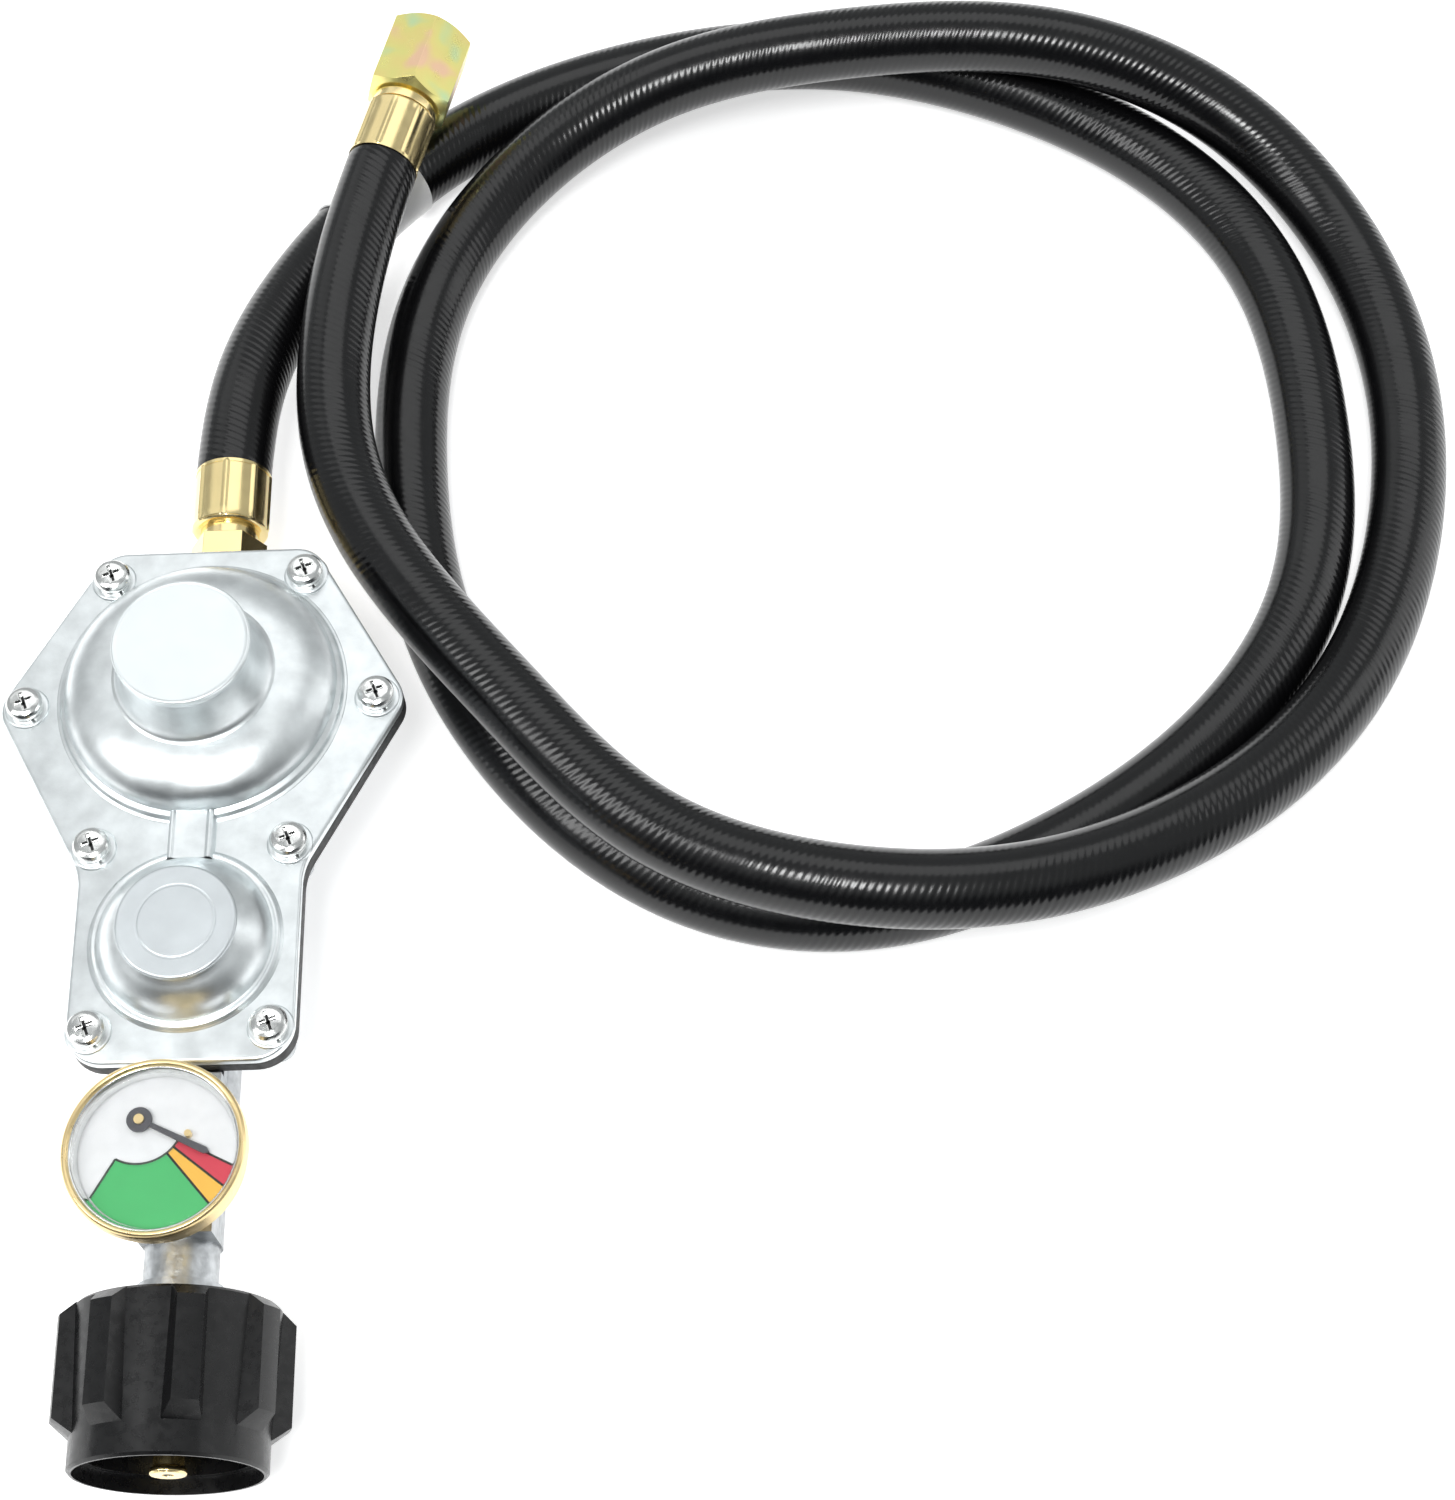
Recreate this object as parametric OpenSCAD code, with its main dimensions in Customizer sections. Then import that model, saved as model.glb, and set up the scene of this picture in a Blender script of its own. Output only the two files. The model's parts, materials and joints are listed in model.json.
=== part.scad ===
// Two-stage propane regulator with a gauge, a tank nut and a hose with a swivel flare nut.
// +Y runs from the tank nut to the hose outlet, +Z up. The origin is under the regulator's middle.

/* [Regulator] */
// Height of the gas ports' axis above the resting face
axis_z = 23.5; // [23.5:0.1:24]
// Height of the cover plate's top face
plate_top = 40; // [39.5:0.1:40.5]
// Thickness of the cover plate
plate_t = 2.2; // [1.8:0.1:2.4]
// Thickness of the rubber sheet between cover and body
gasket_t = 3.6; // [3.2:0.1:3.8]
// Thickness of the body's flange
flange_t = 3; // [2.5:0.1:3.5]
// Place of the first stage along the ports' axis
first_y = -8; // [-8.2:0.1:-7.8]
// Place of the second stage along the ports' axis
second_y = 49; // [48.8:0.1:49.2]
// Height of the second stage's cap above the cover plate
tower_h = 23.1; // [22:0.1:25]

/* [Gauge] */
// Place of the gauge along the ports' axis
gauge_y = -57; // [-57.5:0.1:-56.5]
// Outside diameter of the gauge's bezel
gauge_d = 36; // [35.6:0.1:36.4]
// Height of the bezel's top face
gauge_top = 55.5; // [55.2:0.1:56]
// Direction that the pointer points in at rest, from +X
pointer_rest = -26.5; // [-28:0.5:-25]

/* [Tank nut] */
// Radius of the nut's barrel
nut_r = 19.5; // [19.2:0.1:19.8]
// Radius over the nut's grip ribs
rib_r = 23.3; // [23:0.1:23.4]
// Number of grip ribs
rib_count = 8; // [6:1:10]
// Turn of the ribs about the nut's axis
rib_turn = 18; // [0:1:40]
// Radius of the nut's thread
thread_r = 16.7; // [16.4:0.1:17]

/* [Hose] */
// Outside diameter of the hose
hose_d = 17; // [16.8:0.1:17]
// Outside diameter of the crimped ferrules
ferrule_d = 17.6; // [17.4:0.1:18]
// Width across the flats of the flare nut
flare_af = 19; // [18:0.1:19]

/* [Hidden] */
$fn = 64;
eps = 0.02;

plate_z = plate_top - plate_t;
gasket_z = plate_z - gasket_t;
flange_z = gasket_z - flange_t;
// Corners of the right half of the cover's outline, each with its fillet radius
half_corners = [[23.3, -34.5, 8], [23.3, 7.7, 14], [44, 46.5, 7], [22.5, 84, 7]];
// Middles of the cover screws on the right half
screw_spots = [[21, 77], [37.5, 46.5], [20.5, 13], [18.5, -27.5]];
chamber_2_r = 26.4;
chamber_1_r = 14.5;
chamber_2_floor = 14.5;
chamber_1_floor = 15;
tower_bore_r = 11.5;
cap_1_bore_r = 10.4;
cap_1_h = 10.2;
cap_t = 2.1;
cap_1_t = 1.2;
plug_gap = 0.2;

function unit(v) = v / norm(v);
function arc_points(c, r, from, sweep, steps) =
    [for (k = [0 : steps]) c + r * [cos(from + sweep * k / steps), sin(from + sweep * k / steps)]];
function short_turn(a) = a > 180 ? a - 360 : a < -180 ? a + 360 : a;
// One rounded corner of an outline between its neighbours before and after
function corner(before, at, after) = let (
    p = [at.x, at.y],
    u = unit([before.x, before.y] - p),
    v = unit([after.x, after.y] - p),
    half = acos(u * v) / 2,
    c = p + unit(u + v) * at.z / sin(half),
    start = p + u * at.z / tan(half) - c,
    stop = p + v * at.z / tan(half) - c,
    from = atan2(start.y, start.x),
    sweep = short_turn(atan2(stop.y, stop.x) - from)
    ) arc_points(c, at.z, from, sweep, 10);
left_corners = [for (k = [len(half_corners) - 1 : -1 : 0])
    [-half_corners[k].x, half_corners[k].y, half_corners[k].z]];
corners = concat(half_corners, left_corners);
count = len(corners);
cover_outline = [for (i = [0 : count - 1])
    each corner(corners[(i + count - 1) % count], corners[i], corners[(i + 1) % count])];
// The same outline moved inwards by d along its corners' normals
function inset_outline(points, d) = [for (i = [0 : len(points) - 1]) let (
    before = points[(i + len(points) - 1) % len(points)],
    after = points[(i + 1) % len(points)],
    along = unit(after - before)
    ) points[i] + d * [-along.y, along.x]];
all_screws = [for (side = [1, -1]) for (s = screw_spots) [side * s.x, s.y]];

// A part along the ports' axis, from y onwards, whose own +Z runs along +Y
module along_y(y) {
    translate([0, y, axis_z]) rotate([-90, 0, 0]) children();
}
module ring(h, r_out, r_in) {
    difference() {
        cylinder(h = h, r = r_out);
        translate([0, 0, -eps]) cylinder(h = h + 2 * eps, r = r_in);
    }
}
module at_screws(z) {
    for (s = all_screws) translate([s.x, s.y, z]) children();
}
module slab(z, t, outline) {
    translate([0, 0, z]) linear_extrude(t) polygon(outline);
}
// A turned solid standing on the cover plate at y, from [radius, height] points
module turned(y, z, points) {
    translate([0, y, z]) rotate_extrude() polygon(points);
}
// A quarter of an ellipse from [r + w, z] up to [r, z + h]
function quarter(r, z, w, h, steps) = [for (k = [0 : steps])
    [r + w * cos(90 * k / steps), z + h * sin(90 * k / steps)]];
// A wire coil standing on z = 0: mean radius, wire radius, height over the wire and number of turns
module coil(r, wire, h, turns) {
    steps = 16 * turns;
    sides = 6;
    ring_points = [for (k = [0 : steps]) let (a = 360 * turns * k / steps,
        z = wire + (h - 2 * wire) * k / steps)
        for (s = [0 : sides - 1]) let (b = 360 * s / sides)
        [(r + wire * cos(b)) * cos(a), (r + wire * cos(b)) * sin(a), z + wire * sin(b)]];
    polyhedron(points = ring_points, faces = tube_faces(steps + 1, sides));
}
function tube_faces(rings, sides) = concat(
    [[for (s = [0 : sides - 1]) s]],
    [for (k = [0 : rings - 2]) for (s = [0 : sides - 1])
        let (a = k * sides + s, b = k * sides + (s + 1) % sides)
        each [[a, a + sides, b], [b, a + sides, b + sides]]],
    [[for (s = [sides - 1 : -1 : 0]) (rings - 1) * sides + s]]);

// ---- cover and caps ----
dome_r = 30;
dome_step = 1.5;
tower_foot_r = 15.9;
tower_foot_h = 9.7;
tower_neck_r = 13.7;
tower_wall_h = tower_h - cap_t;
dome_outer = concat([[0, -eps], [dome_r, -eps], [dome_r, dome_step - 0.5]],
    quarter(tower_foot_r, dome_step, dome_r - 0.8 - tower_foot_r, tower_foot_h - dome_step, 12),
    [for (k = [1 : 8]) let (s = k / 8)
        [tower_neck_r + (tower_foot_r - tower_neck_r) * pow(1 - s, 2.4),
         tower_foot_h + (tower_wall_h - tower_foot_h) * s]],
    [[0, tower_wall_h]]);
dome_inner = concat([[0, -plate_t - eps], [chamber_2_r, -plate_t - eps]],
    quarter(tower_bore_r + 1.8, 0, chamber_2_r - tower_bore_r - 1.8, tower_foot_h - 2.2, 8),
    [[tower_bore_r, tower_foot_h - 2.2], [tower_bore_r, tower_wall_h + eps], [0, tower_wall_h + eps]]);
small_dome_outer = [[0, -eps], [19.7, -eps], [19.7, 0.8], [19.2, 1.3], [18.4, 1.7], [17.6, 3], [16.6, 4.6],
    [15.2, 6.2], [13.6, 7.5], [12.3, 8.3], [11.9, 9], [0, 9]];
small_dome_inner = [[0, -plate_t - eps], [chamber_1_r, -plate_t - eps], [chamber_1_r, 0.5], [13.4, 3.4],
    [11.6, 5.6], [cap_1_bore_r, 6.4], [cap_1_bore_r, 9 + eps], [0, 9 + eps]];
rib_w = 9.2;
rib_h = 2.6;
rib_start = first_y + 15;
rib_end = second_y - 27;
screw_hole_r = 2.25;
pad_r = 4.7;
pad_h = 0.4;
vent_at = [0, second_y + 22];
vent_r = 2;

module cover() {
    color("silver") difference() {
        union() {
            slab(plate_z, plate_t, cover_outline);
            turned(second_y, plate_top, dome_outer);
            turned(first_y, plate_top, small_dome_outer);
            translate([-rib_w / 2, rib_start, plate_top - eps]) cube([rib_w, rib_end - rib_start, rib_h]);
            at_screws(plate_top - eps) cylinder(h = pad_h, r = pad_r);
        }
        turned(second_y, plate_top, dome_inner);
        turned(first_y, plate_top, small_dome_inner);
        at_screws(plate_z - eps) cylinder(h = plate_t + 1, r = screw_hole_r);
        translate([vent_at.x, vent_at.y, plate_top - 1]) cylinder(h = 12, r = vent_r);
    }
}
module second_stage_cap() {
    edge = 0.7;
    cap_r = 14.4;
    plug_h = 2.5;
    plug_r = tower_bore_r - plug_gap;
    color("whitesmoke") turned(second_y, plate_top + tower_wall_h, concat(
        [[0, -plug_h], [plug_r, -plug_h], [plug_r, 0], [cap_r, 0]],
        quarter(cap_r - edge, cap_t - edge, edge, edge, 6), [[0, cap_t]]));
}
module first_stage_cap() {
    plug_h = 1.5;
    plug_r = cap_1_bore_r - plug_gap;
    rim_r = 12.5;
    edge = 0.3;
    groove_r = 8;
    groove_t = 0.2;
    color("gainsboro") turned(first_y, plate_top + cap_1_h - cap_1_t, [[0, -plug_h], [plug_r, -plug_h],
        [plug_r, 0], [rim_r - edge, 0], [rim_r, edge], [rim_r, cap_1_t - edge], [rim_r - edge, cap_1_t],
        [groove_r + 0.3, cap_1_t], [groove_r + 0.1, cap_1_t - groove_t],
        [groove_r - 0.1, cap_1_t - groove_t], [groove_r - 0.3, cap_1_t], [0, cap_1_t]]);
}
adjuster_z = plate_top + 13;
adjuster_t = 4;
adjuster_key_r = 4.6;
module adjuster_screw() {
    color("darkkhaki") translate([0, second_y, adjuster_z]) difference() {
        cylinder(h = adjuster_t, r = tower_bore_r - plug_gap);
        translate([0, 0, -eps]) cylinder(h = adjuster_t + 2 * eps, r = adjuster_key_r, $fn = 6);
    }
}
module vent_screen() {
    screen_z = plate_top + 3.2;
    screen_t = 0.4;
    press = 0.05;
    color("dimgray") translate([vent_at.x, vent_at.y, screen_z]) cylinder(h = screen_t, r = vent_r - press);
}

// ---- fasteners ----
washer_t = 1;
washer_z = plate_top + 0.4;
head_r = 3.9;
head_h = 2.5;
shank_r = 1.95;
shank_l = 12;
module cover_screws() {
    slot_l = 4.2;
    slot_w = 0.9;
    slot_z = 1.1;
    slot_turn = 20;
    color("lightgray") at_screws(washer_z + washer_t) difference() {
        union() {
            rotate_extrude() polygon([[0, 0], [head_r - 0.2, 0], [head_r, 0.4], [head_r, 1.2],
                [head_r - 0.5, 1.9], [head_r - 1.5, head_h - 0.15], [0, head_h]]);
            translate([0, 0, -shank_l]) cylinder(h = shank_l + 0.5, r = shank_r);
        }
        for (turn = [slot_turn, slot_turn + 90]) rotate([0, 0, turn])
            translate([-slot_l / 2, -slot_w / 2, slot_z]) cube([slot_l, slot_w, head_h]);
    }
}
module lock_washers() {
    washer_r = 3.8;
    washer_hole_r = 2.15;
    split = 0.5;
    split_turn = -60;
    color("silver") at_screws(washer_z) difference() {
        ring(washer_t, washer_r, washer_hole_r);
        rotate([0, 0, split_turn]) translate([1, -split / 2, -eps]) cube([washer_r, split, washer_t + 1]);
    }
}

// ---- rubber and first and second stage works ----
module diaphragm_gasket() {
    color("black") difference() {
        slab(gasket_z, gasket_t, cover_outline);
        translate([0, second_y, gasket_z - 1]) cylinder(h = gasket_t + 2, r = chamber_2_r);
        translate([0, first_y, gasket_z - 1]) cylinder(h = gasket_t + 2, r = chamber_1_r);
        at_screws(gasket_z - 1) cylinder(h = gasket_t + 2, r = screw_hole_r);
    }
}
// A stage's works are placed by its lever: pin place, beam height, post place and plate radius
disc_z = 33.6;
disc_t = 1;
pin_r = 1;
pin_gap = 0.05;
orifice_hole_r = 3;
beam_t = 1.2;
valve_gap = 0.4;
pin_2 = [28.4, 19];
pin_1 = [-17.2, 19.5];
seat_2_y = 23.4;
seat_1_y = -22;
disc_2_r = 18;
disc_1_r = 9.5;

// A clamped rubber ring that sags to the plate it carries
module sagging_ring(y, r_in, r_out) {
    ring_t = 1.4;
    below = 0.2;
    rim_z = plate_z - 1.8;
    color("black") translate([0, y, 0]) rotate_extrude() polygon([[r_in, disc_z - below], [r_out, rim_z],
        [r_out, rim_z + ring_t], [r_in, disc_z - below + ring_t]]);
}
module post_plate(y, r, beam_z) {
    post_r = 2;
    eye = [8.4, 3, 4.4];
    window = [5.6, 4, 2];
    color("silver") translate([0, y, 0]) {
        translate([0, 0, disc_z]) cylinder(h = disc_t, r = r);
        translate([0, 0, beam_z + eye.z / 2 - 0.2]) cylinder(h = disc_z - beam_z - 1.9, r = post_r);
        translate([0, 0, beam_z]) difference() {
            translate(-eye / 2) cube(eye);
            translate(-window / 2) cube(window);
        }
    }
}
// Bell-crank lever: short arm up to the valve, long arm to the post
// A round bar along X, through a lever's pin place
module cross_bar(pin, l, r) {
    translate([-l / 2, pin.x, pin.y]) rotate([0, 90, 0]) cylinder(h = l, r = r);
}
module lever(pin, arm_y, tip_y) {
    beam_w = 4.4;
    arm_t = 1;
    hub_l = 8.8;
    hub_r = 1.9;
    color("goldenrod") difference() {
        union() {
            cross_bar(pin, hub_l, hub_r);
            translate([-beam_w / 2, arm_y, pin.y]) cube([beam_w, arm_t, axis_z - pin.y + 1.2]);
            translate([-beam_w / 2, arm_y, pin.y - beam_t / 2]) cube([beam_w, tip_y - arm_y, beam_t]);
        }
        cross_bar(pin, hub_l + 3, pin_r + pin_gap);
    }
}
module lever_pin(pin) {
    color("silver") cross_bar(pin, 14.4, pin_r);
}
module valve(seat_y) {
    face_t = 1.2;
    face_r = 2.3;
    stem_t = 1.5;
    holder_r = 2.7;
    color("darkslategray") along_y(seat_y + valve_gap) {
        cylinder(h = face_t, r = face_r);
        translate([0, 0, face_t - eps]) cylinder(h = stem_t + eps, r = holder_r);
    }
}
module orifice(y0, y1, bore_r) {
    color("goldenrod") along_y(y0) ring(y1 - y0, orifice_hole_r - 0.02, bore_r);
}
module second_diaphragm() { sagging_ring(second_y, disc_2_r + 0.2, chamber_2_r - 0.2); }
module first_diaphragm() { sagging_ring(first_y, disc_1_r + 0.2, chamber_1_r - 0.2); }
module second_diaphragm_plate() { post_plate(second_y, disc_2_r, pin_2.y); }
module first_diaphragm_plate() { post_plate(first_y, disc_1_r, pin_1.y); }
module second_stage_lever() { lever(pin_2, seat_2_y + 3.4, second_y + 2); }
module first_stage_lever() { lever(pin_1, seat_1_y + 3.4, first_y + 2); }
module second_lever_pin() { lever_pin(pin_2); }
module first_lever_pin() { lever_pin(pin_1); }
module second_stage_valve() { valve(seat_2_y); }
module first_stage_valve() { valve(seat_1_y); }
module second_stage_orifice() { orifice(orifice_2_y, seat_2_y, 1.3); }
module first_stage_orifice() { orifice(orifice_1_y, seat_1_y, 0.8); }
spring_z = disc_z + disc_t + 0.1;
module second_stage_spring() {
    color("silver") translate([0, second_y, spring_z]) coil(8.5, 0.7, adjuster_z - spring_z - 0.1, 5);
}
module first_stage_spring() {
    color("silver") translate([0, first_y, spring_z]) coil(6, 0.7, plate_top + 7.4 - spring_z, 5);
}

// ---- lower body ----
block_half = 8;
block_front = -68;
block_back = -35;
block_top = 35;
foot_r = 17;
foot_h = 12;
bowl_z = 11;
bowl_h = flange_z - bowl_z + eps;
duct_r = 9.6;
duct_start = -38;
duct_end = 83.9;
neck_start = -77;
inlet_neck_r = 7.5;
collar_start = -80;
collar_r = 8.6;
collar_h = 4;
boss_r = 3.2;
boss_h = 3.2;
tapped_r = 2;
tapped_h = 2.2;
flange_inset = 2.2;
foot_wall = 3.5;
foot_recess_h = 3;
inlet_bore_l = 15;
inlet_bore_r = 6;
orifice_1_y = -30;
orifice_2_y = 17;
transfer_r = 2.4;
outlet_socket_y = 70;
outlet_socket_l = 15;
outlet_socket_r = 6.7;
gauge_hole_r = 4.85;
module lugs(pin, floor_z) {
    lug_x = 6.2;
    lug_t = 2.4;
    lug_w = 4.4;
    difference() {
        for (side = [1, -1]) translate([side * lug_x - lug_t / 2, pin.x - lug_w / 2, floor_z - 1])
            cube([lug_t, lug_w, pin.y - floor_z + 3.2]);
        cross_bar(pin, 18, pin_r + 0.01);
    }
}
module body_outside() {
    slab(flange_z, flange_t, inset_outline(cover_outline, flange_inset));
    translate([0, second_y, bowl_z]) cylinder(h = bowl_h, r1 = 28, r2 = 30.3);
    translate([0, second_y, 0]) cylinder(h = foot_h, r = foot_r);
    translate([0, first_y, bowl_z]) cylinder(h = bowl_h, r1 = 17.2, r2 = 18.6);
    along_y(duct_start) cylinder(h = duct_end - duct_start, r = duct_r);
    along_y(block_front) cylinder(h = first_y - block_front, r = block_half);
    translate([-block_half, block_front, axis_z])
        cube([2 * block_half, block_back - block_front, block_top - axis_z]);
    translate([-block_half, block_back - eps, axis_z])
        cube([2 * block_half, first_y - block_back, flange_z - axis_z + 1]);
    along_y(neck_start) cylinder(h = block_front - neck_start + 1, r = inlet_neck_r);
    along_y(collar_start) cylinder(h = collar_h, r = collar_r);
    at_screws(flange_z - boss_h) cylinder(h = boss_h + eps, r = boss_r);
}
module lower_body() {
    color("silver") {
        difference() {
            body_outside();
            translate([0, second_y, chamber_2_floor]) cylinder(h = 30, r = chamber_2_r);
            translate([0, first_y, chamber_1_floor]) cylinder(h = 30, r = chamber_1_r);
            translate([0, second_y, -eps]) cylinder(h = foot_recess_h, r = foot_r - foot_wall);
            along_y(collar_start - 1) cylinder(h = inlet_bore_l, r = inlet_bore_r);
            along_y(collar_start + 13) cylinder(h = 38, r = orifice_hole_r);
            along_y(orifice_1_y - 0.2) cylinder(h = 12, r = orifice_hole_r);
            along_y(0) cylinder(h = orifice_2_y, r = transfer_r);
            along_y(orifice_2_y - 0.2) cylinder(h = 10, r = orifice_hole_r);
            along_y(outlet_socket_y) cylinder(h = outlet_socket_l, r = outlet_socket_r);
            translate([0, gauge_y, axis_z]) cylinder(h = 20, r = gauge_hole_r);
            at_screws(flange_z - tapped_h) cylinder(h = 20, r = tapped_r);
        }
        lugs(pin_2, chamber_2_floor);
        lugs(pin_1, chamber_1_floor);
    }
}
module inlet_filter() {
    filter_y = -46;
    filter_l = 10;
    color("peru") along_y(filter_y) cylinder(h = filter_l, r = orifice_hole_r - 0.05);
}

// ---- gauge ----
dial_z = gauge_top - 4;
case_z = gauge_top - 8;
case_r = gauge_d / 2 - 1;
window_r = gauge_d / 2 - 2.1;
pivot = [-3.7, gauge_y + 6.5];
arbor_r = 1;
arbor_gap = 0.06;
disc_r = case_r - 0.9;
dial_t = 0.4;
module gauge_socket() {
    plug_z = 28;
    plug_h = 8;
    hex_h = 8;
    hex_r = 6.35;
    neck_z = 43;
    socket_r = 5.6;
    spigot_h = 1.1;
    spigot_r = 4;
    port_r = 1.5;
    color("goldenrod") translate([0, gauge_y, 0]) difference() {
        union() {
            translate([0, 0, plug_z]) cylinder(h = plug_h, r = gauge_hole_r - 0.05);
            translate([0, 0, block_top + 0.2]) cylinder(h = hex_h, r = hex_r, $fn = 6);
            translate([0, 0, neck_z]) cylinder(h = case_z - neck_z, r = socket_r);
            translate([0, 0, case_z - eps]) cylinder(h = spigot_h, r = spigot_r);
        }
        translate([0, 0, plug_z - 1]) cylinder(h = 19, r = port_r);
    }
}
module gauge_case() {
    case_h = 6.9;
    case_floor = 1.2;
    case_wall = 0.8;
    spigot_hole_r = 4.1;
    color("goldenrod") translate([0, gauge_y, case_z]) difference() {
        cylinder(h = case_h, r = case_r);
        translate([0, 0, case_floor]) cylinder(h = case_h, r = case_r - case_wall);
        translate([0, 0, -eps]) cylinder(h = case_floor + 1, r = spigot_hole_r);
    }
}
module gauge_bezel() {
    r = gauge_d / 2;
    skirt = 4;
    lip = 1;
    fit_r = case_r + 0.1;
    color("goldenrod") translate([0, gauge_y, gauge_top]) rotate_extrude() polygon([[fit_r, -skirt],
        [r, -skirt], [r, -0.9], [r - 0.25, -0.35], [r - 0.9, 0], [window_r + 0.3, -0.1], [window_r, -0.4],
        [window_r, -lip], [fit_r, -lip]]);
}
module gauge_lens() {
    lens_z = gauge_top - 2.2;
    lens_t = 1.1;
    color("azure", 0.35) translate([0, gauge_y, lens_z]) cylinder(h = lens_t, r = disc_r);
}
module gauge_dial() {
    color("white") difference() {
        translate([0, gauge_y, dial_z - dial_t]) cylinder(h = dial_t, r = disc_r);
        translate([pivot.x, pivot.y, dial_z - 1]) cylinder(h = 2, r = arbor_r + arbor_gap);
    }
}
module gauge_stop_pin() {
    turn = -17.8;
    reach = 10.2;
    stop_h = 1.4;
    stop_r = 0.7;
    color("gold") translate([pivot.x + reach * cos(turn), pivot.y + reach * sin(turn), dial_z])
        cylinder(h = stop_h, r = stop_r);
}
module gauge_movement() {
    frame_size = [6.4, 10.4, 2.1];
    color("darkkhaki") difference() {
        translate([pivot.x - 3, gauge_y - 1, case_z + 1.3]) cube(frame_size);
        translate([pivot.x, pivot.y, case_z + 1.8]) cylinder(h = 3, r = arbor_r + arbor_gap);
    }
}
module bourdon_tube() {
    tube_z = case_z + 1.5;
    tube_r = 12.2;
    tube_size = [1.2, 1.9];
    sweep = 240;
    color("goldenrod") translate([0, gauge_y, tube_z]) rotate([0, 0, sweep / 2]) rotate_extrude(angle = sweep)
        translate([tube_r, 0]) square(tube_size);
}
module pointer_shape() {
    length = 15.7;
    blade_t = 0.4;
    root_half = 0.45;
    wide_half = 0.7;
    tip_half = 0.1;
    hub_r = 2.5;
    hub_t = 0.6;
    linear_extrude(blade_t) {
        polygon([[0, -root_half], [length - 1, -wide_half], [length, -tip_half], [length, tip_half],
            [length - 1, wide_half], [0, root_half]]);
    }
    translate([0, 0, -0.1]) cylinder(h = hub_t, r = hub_r);
}
module gauge_pointer() {
    color("gray") translate([pivot.x, pivot.y, dial_z + 0.6]) rotate([0, 0, pointer_rest]) difference() {
        pointer_shape();
        translate([0, 0, -1]) cylinder(h = 3, r = arbor_r + 0.01);
    }
}
module pointer_arbor() {
    arbor_z = case_z + 2;
    arbor_top = dial_z + 1.5;
    color("gold") translate([pivot.x, pivot.y, arbor_z]) cylinder(h = arbor_top - arbor_z, r = arbor_r);
}

// ---- tank nut and nipple, along -Y from the collar ----
nut_mouth = -113;
nut_l = 32.4;
module tank_rib() {
    root = nut_r - 1;
    top = rib_r + 0.5;
    foot_half = 4.1;
    top_half = 2.4;
    linear_extrude(nut_l) polygon([[-foot_half, -root], [foot_half, -root], [top_half, -top],
        [-top_half, -top]]);
}
module tank_nut() {
    lip = 0.6;
    back_r = nut_r + 1.1;
    rib_start_z = 6.6;
    back_slope = 2.6;
    mouth_r = 18.4;
    mouth_h = 3.4;
    thread_h = 28;
    neck_hole_r = 6;
    color("#202020") along_y(nut_mouth) difference() {
        union() {
            rotate_extrude() polygon([[0, 0], [nut_r - lip, 0], [nut_r, lip], [nut_r, rib_start_z],
                [back_r, nut_l - lip], [back_r - lip, nut_l], [0, nut_l]]);
            intersection() {
                for (k = [0 : rib_count - 1]) rotate([0, 0, rib_turn + 360 * k / rib_count]) tank_rib();
                rotate_extrude() polygon([[0, rib_start_z - lip], [nut_r, rib_start_z],
                    [rib_r, rib_start_z + 3], [rib_r, nut_l - back_slope], [back_r, nut_l - 0.3],
                    [0, nut_l - 0.3]]);
            }
        }
        translate([0, 0, -eps]) cylinder(h = thread_h, r = thread_r);
        translate([0, 0, -eps]) cylinder(h = mouth_h, r = mouth_r);
        cylinder(h = 40, r = neck_hole_r);
    }
}
module fusible_bushing() {
    bushing_y = -87.6;
    bushing_t = 2.5;
    bushing_r = 11.8;
    bushing_hole_r = 6.15;
    color("darkgreen") along_y(bushing_y) ring(bushing_t, bushing_r, bushing_hole_r);
}
check_r = 3.3;
module inlet_nipple() {
    tip_hole_r = 1.1;
    bore_r = 2.2;
    tip_r = 3.7;
    waist_r = 3.1;
    nose_r = 5.6;
    groove_r = 4.6;
    barrel_r = 7.2;
    flange_r = 11.8;
    shank_r_in = 5.93;
    nipple_l = 46.5;
    color("goldenrod") along_y(nut_mouth) difference() {
        rotate_extrude() polygon([[0, 0], [tip_r - 0.3, 0], [tip_r, 0.3], [tip_r, 1.1], [tip_r - 0.3, 1.4],
            [waist_r, 1.5], [waist_r, 6], [nose_r, 8.5], [nose_r, 10], [groove_r, 10.4], [groove_r, 12.6],
            [nose_r, 13], [barrel_r, 16], [barrel_r, 22.6], [flange_r, 22.9], [flange_r, 25.2],
            [shank_r_in, 25.3], [shank_r_in, nipple_l], [0, nipple_l]]);
        translate([0, 0, -1]) cylinder(h = 5, r = tip_hole_r);
        translate([0, 0, 3]) cylinder(h = 60, r = bore_r);
        translate([0, 0, 16]) cylinder(h = 18.2, r = check_r);
    }
}
module nipple_seal() {
    seal_y = nut_mouth + 11.5;
    seal_r = 5.5;
    seal_wire_r = 0.85;
    color("black") along_y(seal_y) rotate_extrude() translate([seal_r, 0]) circle(r = seal_wire_r);
}
module flow_check_poppet() {
    slide_r = check_r - 0.06;
    poppet_l = 7;
    guide_l = 5;
    color("darkkhaki") along_y(nut_mouth + 16.3) rotate_extrude() polygon([[0, 0], [2.6, 0], [slide_r, 0.7],
        [slide_r, guide_l], [1.6, guide_l + 0.1], [1.2, poppet_l], [0, poppet_l]]);
}
module poppet_spring() {
    color("silver") along_y(nut_mouth + 23.8) coil(2.5, 0.35, 7.9, 6);
}

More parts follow.
